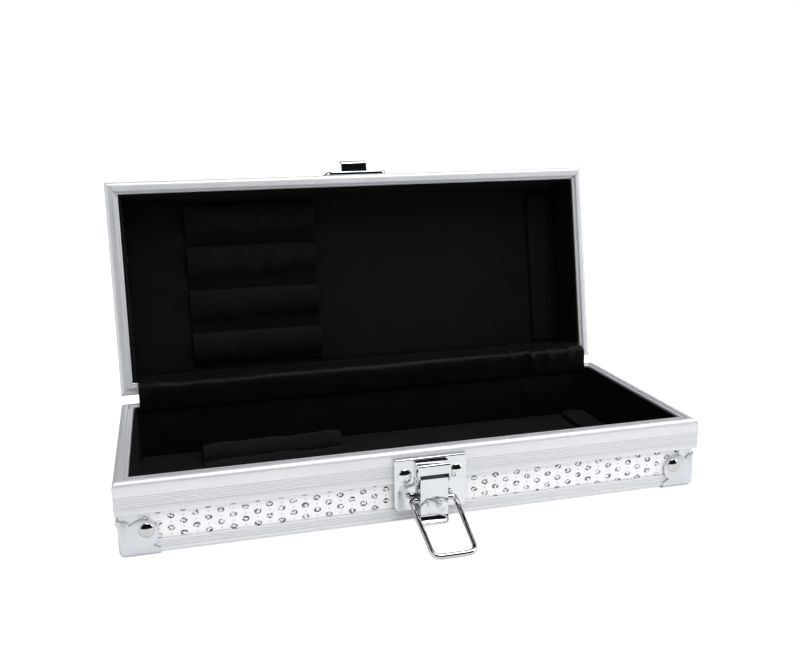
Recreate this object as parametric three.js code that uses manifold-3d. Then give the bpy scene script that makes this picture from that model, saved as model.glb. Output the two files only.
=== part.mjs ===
// A slim hinged brush box: two shallow trays of printed panel held in aluminium extrusions,
// with pressed corner caps, a toggle latch with a wire bail, a black cloth lining and elastic sleeves.
// Millimetres, +Z up; the front faces -Y. The origin is on the table, in the middle of the open box's
// footprint. The lid is drawn open, on its stop. Both halves come from one tray, which opens upwards.
import * as THREE from "three";
import { RoundedBoxGeometry } from "three/addons/geometries/RoundedBoxGeometry.js";
import { mergeVertices } from "three/addons/utils/BufferGeometryUtils.js";
import Module from "manifold-3d";

const wasm = await Module();
wasm.setup();

// The case
const CASE_LENGTH = 265;
const CASE_DEPTH = 110;
const TRAY_HEIGHT = 33.3;
const OPEN_ANGLE = 100;
const SEAT = 0.2; // clearance between pieces that seat on each other
const MITRE_GAP = 0.15;
const CUT_MARGIN = 1; // how far a cutting solid runs past what it cuts

// The stack of the walls, counted inwards from the rim's outer face
const CAP_INSET = 0.5;
const CAP_SHEET = 0.5;
const EDGE_SHEET = 0.6;
const PANEL_SHEET = 3.2;
const LINING_SHEET = 0.9;
const BOARD_SHEET = 1.2;

// The rim extrusions
const RIM_HEIGHT = 14.4;
const RIM_WIDTH = 6.3;
const RIM_WEB = 3;
const RIM_INNER_LEG = 4;
const LINING_BELOW_RIM = 0.8;
const RIM_SHOULDER = 2.2;
const RIM_LINES = 6;
const RIM_LINE_PITCH = 0.88;
const RIM_LINE_DEPTH = 0.12;
const RIM_LINE_START = 3.4;
const GROOVE_START = 3.55;
const GROOVE_WIDTH = 1.5;
const GROOVE_DEPTH = 2;
const TONGUE_HEIGHT = 1.5;
const TONGUE_PLAY = 0.35;
const PARTING_GAP = 0.3;

// The L extrusions along the outer edges and up the corners
const EDGE_HEIGHT = 6.1;
const EDGE_FOOT = 8;
const EDGE_ROUND = 1.6;
const EDGE_RIBS = 4;
const EDGE_RIB_PITCH = 0.8;
const EDGE_RIB_DEPTH = 0.1;
const TRIM_LEG = 8;

// The corner caps
const CAP_WIDTH = 16.5;
const CAP_ROUND = 2.4;
const CAP_ROUND_STEPS = 3;
const CAP_COLUMN_RADIUS = 2.5;
const CAP_COLUMN_TOP = 16.3;
const CAP_FOOT_TOP = 3;
const CAP_LOBE_RADIUS = 6.3;
const CAP_LOBE_X = 10;
const CAP_LOBE_Z = 9.9;
const CAP_NOTCH_ANGLE = -55;
const CAP_RIVET_X = 11.6;
const CAP_RIVET_Z = 11.5;
const RIVET_RADIUS = 3.25;
const RIVET_HEIGHT = 1.4;

// Two hinges on the rear rims
const AXIS_BEHIND = 2.6;
const HINGE_FROM_END = 47.5;
const HINGE_WIDTH = 32;
const LEAF_SHEET = 0.8;
const LEAF_HEIGHT = 11;
const KNUCKLE_RADIUS = 1.9;
const KNUCKLES = 5;
const KNUCKLE_GAP = 0.3;
const HINGE_PIN_RADIUS = 0.9;
const HINGE_PIN_PLAY = 0.1;
const HINGE_RIVET_X = 11;
const HINGE_RIVET_Z = 7;
const HINGE_RIVET_RADIUS = 1.9;
const HINGE_RIVET_HEIGHT = 0.8;

// The latch on the front of the base
const LATCH_WIDTH = 33;
const LATCH_BOTTOM = 6.5;
const LATCH_TOP = 30.6;
const LATCH_FACE = 2.2;
const LATCH_SHEET = 0.8;
const LATCH_CORNER = 3;
const BRIDGE_WIDTH = 14.6;
const BRIDGE_REACH = 7.65;
const BRIDGE_TOP = 29;
const BRIDGE_BAR = 4.6;
const BRIDGE_SHOULDER = 23;
const BRIDGE_BOTTOM = 16.5;
const BRIDGE_TOE = 3;
const BRIDGE_ROUND = 1;
const LATCH_RIVET_X = 11.8;
const LATCH_RIVET_Z = 22.9;
const LEVER_AXIS_Y = 4.4;
const LEVER_AXIS_Z = 20.6;
const LEVER_PIN_RADIUS = 0.8;
const LEVER_PIN_PLAY = 0.12;
const LEVER_PIN_END = 0.4;
const LEVER_PLAY = 0.3;
const LEVER_SHEET = 0.8;
const LEVER_FACE = 7;
const LEVER_TOP = 22.3;
const LEVER_EAR_RADIUS = 1.8;
const LEVER_EAR_BOTTOM = 9.9;
const LEVER_BEND_TOP = 7.2;
const LEVER_LIP_REACH = 10;
const LEVER_LIP_Z = 3;
const LEVER_LIP_CORNER = 2.6;
const PIP_SPREAD = 2.9;
const PIP_RADIUS = 1.05;
const PIP_RISE = 0.6;
const PIP_Z = 11.5;
const BAIL_AXIS_Y = 4.6;
const BAIL_AXIS_Z = 12.2;
const BAIL_WIRE = 1.2;
const BAIL_HALF_WIDTH = 10;
const BAIL_END_HALF_WIDTH = 9.2;
const BAIL_LENGTH = 33.5;
const BAIL_BEND = 4.2;
const BAIL_END_BEND = 1.8;
const BAIL_PLAY = 0.15;
const BAIL_STEPS = 44;

// The catch on the front of the lid; heights are counted from the lid's parting face
const CATCH_FOOT = 3;
const CATCH_HEIGHT = 24;
const HOOK_WIDTH = 14.4;
const HOOK_REACH = 8.7;
const HOOK_LIP = 4;
const HOOK_BEND = 2;
const CATCH_RIVET_Z = 18;

// The black lining, its sleeves, end strips and the cloth over the hinge line
const SLEEVE_COUNT = 4;
const SLEEVE_START = 39;
const SLEEVE_LENGTH = 71;
const SLEEVE_WIDTH = 15;
const SLEEVE_FROM_HINGE = 15.2;
const SLEEVE_FRONT_GAP = 5.4;
const SLEEVE_RISE = 6.8;
const SLEEVE_CLOTH = 0.8;
const SLEEVE_FULLNESS = 3; // 2 is an ellipse, more is squarer
const SLEEVE_STEPS = 10;
const BACKING_SHEET = 0.5;
const BACKING_MARGIN = 3;
const STRIP_START = 240;
const STRIP_WIDTH = 14;
const STRIP_HEIGHT = 3;
const STRIP_ROUND = 1.4;
const STRIP_END_GAP = 5;
const CLOTH_SHEET = 0.7;
const CLOTH_END_GAP = 2;
const CLOTH_BASE_TAIL = 3;
const CLOTH_LID_TAIL = 13;
const CLOTH_CREST = 9.5;
const CLOTH_CLEARANCE = 0.3;
const CLOTH_STEPS = 24;

// Places that follow from the sizes
const EDGE_FACE = CAP_INSET + CAP_SHEET + SEAT;
const PANEL_FACE = EDGE_FACE + EDGE_SHEET + SEAT;
const PANEL_BACK = PANEL_FACE + PANEL_SHEET;
const LINING_FACE = RIM_WIDTH + SEAT + LINING_SHEET;
const EDGE_UNDERSIDE = CAP_SHEET + SEAT;
const PANEL_UNDERSIDE = EDGE_UNDERSIDE + EDGE_SHEET + SEAT;
const BOARD_UNDERSIDE = PANEL_UNDERSIDE + PANEL_SHEET + SEAT;
const FLOOR = BOARD_UNDERSIDE + BOARD_SHEET;
const EDGE_TOP = EDGE_UNDERSIDE + EDGE_HEIGHT;
const RIM_BOTTOM = TRAY_HEIGHT - RIM_HEIGHT;
const SLOT_TOP = TRAY_HEIGHT - RIM_WEB;
const EDGE_NOSE = CAP_INSET + CAP_ROUND + SEAT;
const SLEEVE_ROOM = CASE_DEPTH + AXIS_BEHIND - SLEEVE_FROM_HINGE - SLEEVE_FRONT_GAP - LINING_FACE;
const SLEEVE_PITCH = (SLEEVE_ROOM - SLEEVE_WIDTH) / (SLEEVE_COUNT - 1);
const BAIL_LEAN = Math.asin((BAIL_AXIS_Z - BAIL_WIRE) / BAIL_LENGTH);
const HOOK_FLOOR = BAIL_AXIS_Z + BAIL_LENGTH - BAIL_WIRE - SEAT - TRAY_HEIGHT - PARTING_GAP;

// Materials
const aluminium = finish(0xd9dce0, 0.32, 0.85);
const capSteel = finish(0xdfe2e6, 0.28, 0.8);
const chrome = finish(0xc9ccd0, 0.08, 1);
const printedPanel = finish(0xf2f2f2, 0.45, 0);
const lining = finish(0x0b0b0c, 0.9, 0);
const elastic = finish(0x101011, 0.95, 0);
const satin = finish(0x141416, 0.6, 0);

function finish(color, roughness, metalness) {
  return new THREE.MeshStandardMaterial({ color, roughness, metalness });
}

// Solids for joins and cuts
function solidOf(geometry) {
  const bare = geometry.clone();
  bare.deleteAttribute("normal");
  bare.deleteAttribute("uv");
  const merged = mergeVertices(bare, 1e-4);
  const triVerts = new Uint32Array(merged.index.array);
  const vertProperties = merged.attributes.position.array;
  return new wasm.Manifold(new wasm.Mesh({ numProp: 3, vertProperties, triVerts }));
}

function geometryOf(solid) {
  const mesh = solid.getMesh();
  const geometry = new THREE.BufferGeometry();
  geometry.setAttribute("position", new THREE.BufferAttribute(mesh.vertProperties, 3));
  geometry.setIndex(new THREE.BufferAttribute(mesh.triVerts, 1));
  geometry.computeVertexNormals();
  return geometry;
}

function box(lowX, highX, lowY, highY, lowZ, highZ) {
  const geometry = new THREE.BoxGeometry(highX - lowX, highY - lowY, highZ - lowZ);
  return geometry.translate((lowX + highX) / 2, (lowY + highY) / 2, (lowZ + highZ) / 2);
}

function named(name, geometry, material) {
  const mesh = new THREE.Mesh(geometry, material);
  mesh.name = name;
  return mesh;
}

// Extrude a section drawn in (y, z) along X, from lowX to highX
function alongX(shape, lowX, highX, curveSegments = 6) {
  const depth = highX - lowX;
  const geometry = new THREE.ExtrudeGeometry(shape, { depth, bevelEnabled: false, curveSegments });
  return geometry.rotateX(Math.PI / 2).rotateZ(Math.PI / 2).translate(lowX, 0, 0);
}

// Extrude an outline drawn in (x, z) along Y, from lowY to highY
function alongY(shape, lowY, highY, curveSegments = 6) {
  const depth = highY - lowY;
  const geometry = new THREE.ExtrudeGeometry(shape, { depth, bevelEnabled: false, curveSegments });
  return geometry.rotateX(Math.PI / 2).translate(0, highY, 0);
}

// Extrude an outline drawn in (x, y) along Z, from lowZ to highZ
function alongZ(shape, lowZ, highZ, curveSegments = 6) {
  const depth = highZ - lowZ;
  const geometry = new THREE.ExtrudeGeometry(shape, { depth, bevelEnabled: false, curveSegments });
  return geometry.translate(0, 0, lowZ);
}

// A round rod or hole along X
function rodX(radius, lowX, highX, y, z, sides = 16) {
  const geometry = new THREE.CylinderGeometry(radius, radius, highX - lowX, sides);
  return geometry.rotateZ(Math.PI / 2).translate((lowX + highX) / 2, y, z);
}

// A domed rivet head that stands out towards -Y from the origin, with a short shank behind it
function rivetHead(radius, height, shank) {
  const profile = [new THREE.Vector2(0, -shank), new THREE.Vector2(radius / 2, -shank)];
  profile.push(new THREE.Vector2(radius / 2, 0), new THREE.Vector2(radius, 0));
  const steps = 3;
  for (let i = 1; i <= steps; i++) {
    const turn = (i / steps) * (Math.PI / 2);
    profile.push(new THREE.Vector2(i === steps ? 0 : radius * Math.cos(turn), height * Math.sin(turn)));
  }
  return new THREE.LatheGeometry(profile, 12).rotateX(Math.PI);
}

// An extrusion with mitred ends; its section is drawn in (u, z), u counted inwards.
// What lies nearer the outside than squareTo ends square there, to clear a rounded corner cap.
function mitredBar(shape, length, squareTo = 0) {
  const geometry = new THREE.ExtrudeGeometry(shape, { depth: 1, bevelEnabled: false, curveSegments: 4 });
  const position = geometry.attributes.position;
  for (let i = 0; i < position.count; i++) {
    const inward = position.getX(i);
    const end = position.getZ(i) > 0.5 ? 1 : -1;
    const short = Math.max(inward, squareTo) + MITRE_GAP / 2;
    position.setXYZ(i, end * (length / 2 - short), inward, position.getY(i));
  }
  return geometry;
}

// Four sides of a tray: the turn about Z that faces each one outwards, and its length
const SIDES = [
  { side: "low", turn: 0, length: CASE_LENGTH, x: 0, y: -CASE_DEPTH / 2 },
  { side: "right", turn: Math.PI / 2, length: CASE_DEPTH, x: CASE_LENGTH / 2, y: 0 },
  { side: "high", turn: Math.PI, length: CASE_LENGTH, x: 0, y: CASE_DEPTH / 2 },
  { side: "left", turn: -Math.PI / 2, length: CASE_DEPTH, x: -CASE_LENGTH / 2, y: 0 },
];

// The rim's section: ribbed outer face, rounded shoulder, slot for the panel, groove or tongue on top
function rimSection(hasTongue) {
  const shape = new THREE.Shape();
  const chamfer = 0.3;
  shape.moveTo(chamfer, RIM_BOTTOM);
  shape.lineTo(0, RIM_BOTTOM + chamfer);
  for (let i = 0; i < RIM_LINES; i++) {
    const z = RIM_BOTTOM + RIM_LINE_START + i * RIM_LINE_PITCH;
    shape.lineTo(0, z);
    shape.lineTo(RIM_LINE_DEPTH, z + RIM_LINE_PITCH / 4);
    shape.lineTo(0, z + RIM_LINE_PITCH / 2);
  }
  shape.lineTo(0, TRAY_HEIGHT - RIM_SHOULDER);
  shape.absarc(RIM_SHOULDER, TRAY_HEIGHT - RIM_SHOULDER, RIM_SHOULDER, Math.PI, Math.PI / 2, true);
  if (hasTongue) {
    const low = GROOVE_START + TONGUE_PLAY;
    const high = GROOVE_START + GROOVE_WIDTH - TONGUE_PLAY;
    shape.lineTo(low, TRAY_HEIGHT);
    shape.lineTo(low, TRAY_HEIGHT + TONGUE_HEIGHT);
    shape.lineTo(high, TRAY_HEIGHT + TONGUE_HEIGHT);
    shape.lineTo(high, TRAY_HEIGHT);
  } else {
    shape.lineTo(GROOVE_START, TRAY_HEIGHT);
    shape.lineTo(GROOVE_START, TRAY_HEIGHT - GROOVE_DEPTH);
    shape.lineTo(GROOVE_START + GROOVE_WIDTH, TRAY_HEIGHT - GROOVE_DEPTH);
    shape.lineTo(GROOVE_START + GROOVE_WIDTH, TRAY_HEIGHT);
  }
  shape.lineTo(RIM_WIDTH - chamfer, TRAY_HEIGHT);
  shape.lineTo(RIM_WIDTH, TRAY_HEIGHT - chamfer);
  shape.lineTo(RIM_WIDTH, TRAY_HEIGHT - RIM_INNER_LEG);
  shape.lineTo(PANEL_BACK + SEAT, TRAY_HEIGHT - RIM_INNER_LEG);
  shape.lineTo(PANEL_BACK + SEAT, SLOT_TOP);
  shape.lineTo(PANEL_FACE - SEAT, SLOT_TOP);
  shape.lineTo(PANEL_FACE - SEAT, RIM_BOTTOM);
  return shape;
}

// The bottom edge's section: a ribbed upright leg and a foot under the panel
function edgeSection() {
  const shape = new THREE.Shape();
  const outer = EDGE_FACE;
  const inner = EDGE_FACE + EDGE_SHEET;
  shape.moveTo(EDGE_FACE + EDGE_FOOT, EDGE_UNDERSIDE + EDGE_SHEET);
  shape.lineTo(inner, EDGE_UNDERSIDE + EDGE_SHEET);
  shape.lineTo(inner, EDGE_TOP);
  shape.lineTo(outer, EDGE_TOP);
  for (let i = 0; i < EDGE_RIBS; i++) {
    const z = EDGE_TOP - (i + 1) * EDGE_RIB_PITCH;
    shape.lineTo(outer, z);
    shape.lineTo(outer + EDGE_RIB_DEPTH, z - EDGE_RIB_PITCH / 4);
    shape.lineTo(outer, z - EDGE_RIB_PITCH / 2);
  }
  shape.lineTo(outer, EDGE_UNDERSIDE + EDGE_ROUND);
  shape.absarc(outer + EDGE_ROUND, EDGE_UNDERSIDE + EDGE_ROUND, EDGE_ROUND, Math.PI, 1.5 * Math.PI, false);
  shape.lineTo(EDGE_FACE + EDGE_FOOT, EDGE_UNDERSIDE);
  return shape;
}

// A corner trim's section at the corner where x and y grow inwards
function trimSection() {
  const shape = new THREE.Shape();
  const outer = EDGE_FACE;
  const inner = EDGE_FACE + EDGE_SHEET;
  const end = EDGE_FACE + TRIM_LEG;
  shape.moveTo(end, outer);
  shape.lineTo(end, inner);
  shape.lineTo(inner, inner);
  shape.lineTo(inner, end);
  shape.lineTo(outer, end);
  shape.lineTo(outer, outer + EDGE_ROUND);
  shape.absarc(outer + EDGE_ROUND, outer + EDGE_ROUND, EDGE_ROUND, Math.PI, 1.5 * Math.PI, false);
  return shape;
}

// A cap face's outline: a column along the corner, a round lobe behind the rivet and a foot
function capOutline() {
  const shape = new THREE.Shape();
  const notch = THREE.MathUtils.degToRad(CAP_NOTCH_ANGLE);
  const columnCentre = CAP_COLUMN_TOP - CAP_COLUMN_RADIUS;
  const dip = Math.PI - Math.asin((columnCentre - CAP_LOBE_Z) / CAP_LOBE_RADIUS);
  shape.moveTo(0, 0);
  shape.lineTo(CAP_WIDTH, 0);
  shape.lineTo(CAP_WIDTH, CAP_FOOT_TOP);
  shape.absarc(CAP_LOBE_X, CAP_LOBE_Z, CAP_LOBE_RADIUS, notch, dip, false);
  shape.absarc(CAP_COLUMN_RADIUS, columnCentre, CAP_COLUMN_RADIUS, 0, Math.PI / 2, false);
  shape.lineTo(0, CAP_COLUMN_TOP);
  return shape;
}

function capFloorOutline() {
  const shape = new THREE.Shape();
  shape.moveTo(0, 0);
  shape.lineTo(CAP_WIDTH, 0);
  shape.lineTo(CAP_WIDTH, CAP_FOOT_TOP);
  shape.quadraticCurveTo(CAP_LOBE_Z, CAP_LOBE_Z, CAP_FOOT_TOP, CAP_WIDTH);
  shape.lineTo(0, CAP_WIDTH);
  return shape;
}

// A pressed corner cap at the corner where x and y grow inwards, with a rivet on each upright face
function capSolid() {
  const block = 4 * CAP_WIDTH; // far larger than the cap, so that only one corner of it is used
  const low = CAP_INSET;
  const skin = new RoundedBoxGeometry(block, block, block, CAP_ROUND_STEPS, CAP_ROUND);
  const outside = solidOf(skin.translate(low + block / 2, low + block / 2, block / 2));
  const coreRound = CAP_ROUND - CAP_SHEET;
  const core = new RoundedBoxGeometry(block, block, block, CAP_ROUND_STEPS, coreRound);
  const shift = low + CAP_SHEET + block / 2;
  const inside = solidOf(core.translate(shift, shift, CAP_SHEET + block / 2));
  const reach = CAP_ROUND + CAP_SHEET;
  const front = solidOf(alongY(capOutline(), -CUT_MARGIN, reach).translate(low, 0, 0));
  const flank = solidOf(alongX(capOutline(), -CUT_MARGIN, reach).translate(0, low, 0));
  const floor = solidOf(alongZ(capFloorOutline(), -CUT_MARGIN, 2 * CAP_SHEET).translate(low, low, 0));
  let cap = outside.subtract(inside).intersect(front.add(flank).add(floor));
  const rivet = rivetHead(RIVET_RADIUS, RIVET_HEIGHT, CAP_SHEET / 2);
  const rivetX = low + CAP_RIVET_X;
  cap = cap.add(solidOf(rivet.clone().translate(rivetX, low, CAP_RIVET_Z)));
  return cap.add(solidOf(rivet.clone().rotateZ(-Math.PI / 2).translate(low, rivetX, CAP_RIVET_Z)));
}

// An elastic sleeve's arch, drawn in (y, z) from its own middle, standing on z = 0
function sleeveSection() {
  const shape = new THREE.Shape();
  const half = SLEEVE_WIDTH / 2;
  const arch = (reach, rise, step) => {
    const c = Math.cos((step / SLEEVE_STEPS) * Math.PI);
    const s = Math.sin((step / SLEEVE_STEPS) * Math.PI);
    const y = Math.sign(c) * Math.abs(c) ** (2 / SLEEVE_FULLNESS) * reach;
    return [y, s ** (2 / SLEEVE_FULLNESS) * rise];
  };
  shape.moveTo(half, 0);
  for (let i = 1; i <= SLEEVE_STEPS; i++) {
    shape.lineTo(...arch(half, SLEEVE_RISE, i));
  }
  for (let i = SLEEVE_STEPS; i >= 0; i--) {
    shape.lineTo(...arch(half - SLEEVE_CLOTH, SLEEVE_RISE - SLEEVE_CLOTH, i));
  }
  return shape;
}

// One tray, opening upwards from z = 0; hingeSide is +1 when the hinge is on its +Y side
function buildTray(prefix, sideNames, hingeSide, hasTongue) {
  const tray = new THREE.Group();
  const cap = capSolid();
  const trim = alongZ(trimSection(), EDGE_TOP + SEAT, RIM_BOTTOM - SEAT);
  for (const { side, turn, length, x, y } of SIDES) {
    const label = sideNames[side];
    const along = length - 2 * PANEL_FACE;
    const end = side === "low" || side === "high" ? along / 2 : along / 2 - PANEL_SHEET - SEAT;
    const pieces = [
      named(prefix + "_rim_" + label, mitredBar(rimSection(hasTongue), length), aluminium),
      named(prefix + "_edge_" + label, mitredBar(edgeSection(), length, EDGE_NOSE), aluminium),
      named(
        prefix + "_panel_" + label,
        box(-end, end, PANEL_FACE, PANEL_BACK, PANEL_UNDERSIDE, SLOT_TOP - SEAT),
        printedPanel,
      ),
    ];
    for (const piece of pieces) {
      piece.position.set(x, y, 0);
      piece.rotation.z = turn;
      tray.add(piece);
    }
  }
  const corners = [
    { x: -1, y: -1, turn: 0, label: sideNames.low + "_left" },
    { x: 1, y: -1, turn: Math.PI / 2, label: sideNames.low + "_right" },
    { x: 1, y: 1, turn: Math.PI, label: sideNames.high + "_right" },
    { x: -1, y: 1, turn: -Math.PI / 2, label: sideNames.high + "_left" },
  ];
  for (const { x, y, turn, label } of corners) {
    const pieces = [
      named(prefix + "_corner_trim_" + label, trim, aluminium),
      named(prefix + "_corner_cap_" + label, geometryOf(cap), capSteel),
    ];
    for (const piece of pieces) {
      piece.position.set((x * CASE_LENGTH) / 2, (y * CASE_DEPTH) / 2, 0);
      piece.rotation.z = turn;
      tray.add(piece);
    }
  }
  tray.add(named(prefix + "_panel_outer", outerPanel(), printedPanel));
  tray.add(named(prefix + "_lining", liningWalls(), lining));
  tray.add(named(prefix + "_board", innerBoard(), lining));
  tray.add(named(prefix + "_sleeves", sleeveBand(hingeSide), elastic));
  tray.add(named(prefix + "_end_strip", endStrip(), lining));
  return tray;
}

function outerPanel() {
  const x = CASE_LENGTH / 2 - PANEL_BACK - SEAT;
  const y = CASE_DEPTH / 2 - PANEL_BACK - SEAT;
  return box(-x, x, -y, y, PANEL_UNDERSIDE, PANEL_UNDERSIDE + PANEL_SHEET);
}

// The cloth on the four inner walls, one band round
function liningWalls() {
  const outside = [CASE_LENGTH / 2 - RIM_WIDTH - SEAT, CASE_DEPTH / 2 - RIM_WIDTH - SEAT];
  const inside = outside.map((reach) => reach - LINING_SHEET);
  const top = TRAY_HEIGHT - LINING_BELOW_RIM;
  const outer = solidOf(box(-outside[0], outside[0], -outside[1], outside[1], BOARD_UNDERSIDE, top));
  const low = BOARD_UNDERSIDE - CUT_MARGIN;
  const cut = box(-inside[0], inside[0], -inside[1], inside[1], low, top + CUT_MARGIN);
  return geometryOf(outer.subtract(solidOf(cut)));
}

function innerBoard() {
  const x = CASE_LENGTH / 2 - LINING_FACE - SEAT;
  const y = CASE_DEPTH / 2 - LINING_FACE - SEAT;
  return box(-x, x, -y, y, BOARD_UNDERSIDE, FLOOR);
}

// Four elastic sleeves sewn side by side on one strip of backing cloth
function sleeveBand(hingeSide) {
  const lowX = SLEEVE_START - CASE_LENGTH / 2;
  const highX = lowX + SLEEVE_LENGTH;
  const nearest = CASE_DEPTH / 2 + AXIS_BEHIND - SLEEVE_FROM_HINGE - SLEEVE_WIDTH / 2;
  const middle = (i) => nearest - i * SLEEVE_PITCH;
  const floor = FLOOR + SEAT;
  const nearHinge = middle(0) + SLEEVE_WIDTH / 2 + BACKING_MARGIN;
  const nearOpening = middle(SLEEVE_COUNT - 1) - SLEEVE_WIDTH / 2 - BACKING_MARGIN;
  const backing = box(lowX, highX, nearOpening, nearHinge, floor, floor + BACKING_SHEET);
  let band = solidOf(backing);
  for (let i = 0; i < SLEEVE_COUNT; i++) {
    const sleeve = alongX(sleeveSection(), lowX, highX);
    band = band.add(solidOf(sleeve.translate(0, middle(i), floor + BACKING_SHEET / 2)));
  }
  const geometry = geometryOf(band);
  return hingeSide > 0 ? geometry : geometry.rotateZ(Math.PI).translate(lowX + highX, 0, 0);
}

// The narrow padded strip across the right end of the floor
function endStrip() {
  const lowX = STRIP_START - CASE_LENGTH / 2;
  const y = CASE_DEPTH / 2 - LINING_FACE - STRIP_END_GAP;
  const geometry = new RoundedBoxGeometry(STRIP_WIDTH, 2 * y, STRIP_HEIGHT, 2, STRIP_ROUND);
  return geometry.translate(lowX + STRIP_WIDTH / 2, 0, FLOOR + SEAT + STRIP_HEIGHT / 2);
}

// A hinge leaf on the rear face of a rim, drawn closed about its axis: the rim face is at -AXIS_BEHIND.
// The base leaf hangs down and carries the pin; the lid leaf stands up and turns on it.
function hingeLeaf(isLid) {
  const up = isLid ? 1 : -1;
  const half = HINGE_WIDTH / 2;
  const pitch = HINGE_WIDTH / KNUCKLES;
  const back = SEAT - AXIS_BEHIND;
  const upright = (from, to) => (isLid ? [from, to] : [-to, -from]);
  let leaf = solidOf(box(-half, half, back, back + LEAF_SHEET, ...upright(KNUCKLE_GAP, LEAF_HEIGHT)));
  for (let i = 0; i < KNUCKLES; i++) {
    const lowX = -half + i * pitch + KNUCKLE_GAP / 2;
    const highX = -half + (i + 1) * pitch - KNUCKLE_GAP / 2;
    if (i % 2 === (isLid ? 1 : 0)) {
      leaf = leaf.add(solidOf(rodX(KNUCKLE_RADIUS, lowX, highX, 0, 0)));
      leaf = leaf.add(solidOf(box(lowX, highX, back, 0, ...upright(0, KNUCKLE_RADIUS))));
    } else {
      const clear = KNUCKLE_RADIUS + KNUCKLE_GAP;
      const room = rodX(clear, lowX - KNUCKLE_GAP, highX + KNUCKLE_GAP, 0, 0);
      leaf = leaf.subtract(solidOf(room));
    }
  }
  const ends = half + CUT_MARGIN;
  const bore = solidOf(rodX(HINGE_PIN_RADIUS + HINGE_PIN_PLAY, -ends, ends, 0, 0));
  const pin = solidOf(rodX(HINGE_PIN_RADIUS, -half, half, 0, 0));
  leaf = isLid ? leaf.subtract(bore) : leaf.add(pin);
  const head = rivetHead(HINGE_RIVET_RADIUS, HINGE_RIVET_HEIGHT, LEAF_SHEET / 2).rotateZ(Math.PI);
  for (const side of [-1, 1]) {
    const place = [side * HINGE_RIVET_X, back + LEAF_SHEET, up * HINGE_RIVET_Z];
    leaf = leaf.add(solidOf(head.clone().translate(...place)));
  }
  return geometryOf(leaf);
}

// A pressed plate like a shallow pan, open towards +Y, with rounded lower corners
function panSolid(lowZ, highZ) {
  const half = LATCH_WIDTH / 2;
  const outline = (inset, round) => {
    const shape = new THREE.Shape();
    const x = half - inset;
    const low = lowZ + inset;
    const high = highZ - inset;
    shape.moveTo(-x, high);
    shape.lineTo(-x, low + round);
    shape.absarc(-x + round, low + round, round, Math.PI, 1.5 * Math.PI, false);
    shape.absarc(x - round, low + round, round, 1.5 * Math.PI, 2 * Math.PI, false);
    shape.lineTo(x, high);
    return shape;
  };
  const shell = solidOf(alongY(outline(0, LATCH_CORNER), -LATCH_FACE, -SEAT));
  const inner = outline(LATCH_SHEET, LATCH_CORNER - LATCH_SHEET);
  const hollow = alongY(inner, LATCH_SHEET - LATCH_FACE, CUT_MARGIN);
  return shell.subtract(solidOf(hollow));
}

function withRivets(plate, z) {
  const head = rivetHead(RIVET_RADIUS, RIVET_HEIGHT, LATCH_SHEET / 2);
  let result = plate;
  for (const side of [-1, 1]) {
    result = result.add(solidOf(head.clone().translate(side * LATCH_RIVET_X, -LATCH_FACE, z)));
  }
  return result;
}

// The base plate: a pan with a raised bridge that is open below its bar, where the lever hangs
function latchPlate() {
  const half = BRIDGE_WIDTH / 2;
  const cavity = half - LATCH_SHEET;
  const root = -LATCH_FACE + LATCH_SHEET / 2;
  const bend = [-BRIDGE_REACH + BRIDGE_ROUND, BRIDGE_TOP - BRIDGE_ROUND];
  const flank = new THREE.Shape();
  flank.moveTo(root, BRIDGE_BOTTOM);
  flank.lineTo(root, BRIDGE_TOP);
  flank.lineTo(bend[0], BRIDGE_TOP);
  flank.absarc(...bend, BRIDGE_ROUND, Math.PI / 2, Math.PI, false);
  flank.lineTo(-BRIDGE_REACH, BRIDGE_SHOULDER);
  flank.lineTo(-BRIDGE_TOE, BRIDGE_BOTTOM);
  const inFront = -BRIDGE_REACH - CUT_MARGIN;
  const below = BRIDGE_BOTTOM - CUT_MARGIN;
  const behind = LATCH_SHEET - BRIDGE_REACH;
  const room = box(-cavity, cavity, behind, CUT_MARGIN, BRIDGE_BOTTOM, BRIDGE_TOP - LATCH_SHEET);
  const mouth = box(-cavity, cavity, inFront, -LATCH_FACE, below, BRIDGE_TOP - BRIDGE_BAR);
  let plate = panSolid(LATCH_BOTTOM, LATCH_TOP).add(solidOf(alongX(flank, -half, half)));
  plate = plate.subtract(solidOf(room)).subtract(solidOf(mouth));
  const play = LEVER_PIN_RADIUS + LEVER_PIN_PLAY;
  const ends = half + CUT_MARGIN;
  const bore = solidOf(rodX(play, -ends, ends, -LEVER_AXIS_Y, LEVER_AXIS_Z));
  return geometryOf(withRivets(plate.subtract(bore), LATCH_RIVET_Z));
}

function leverPin() {
  const half = BRIDGE_WIDTH / 2 + LEVER_PIN_END;
  return rodX(LEVER_PIN_RADIUS, -half, half, -LEVER_AXIS_Y, LEVER_AXIS_Z);
}

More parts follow.
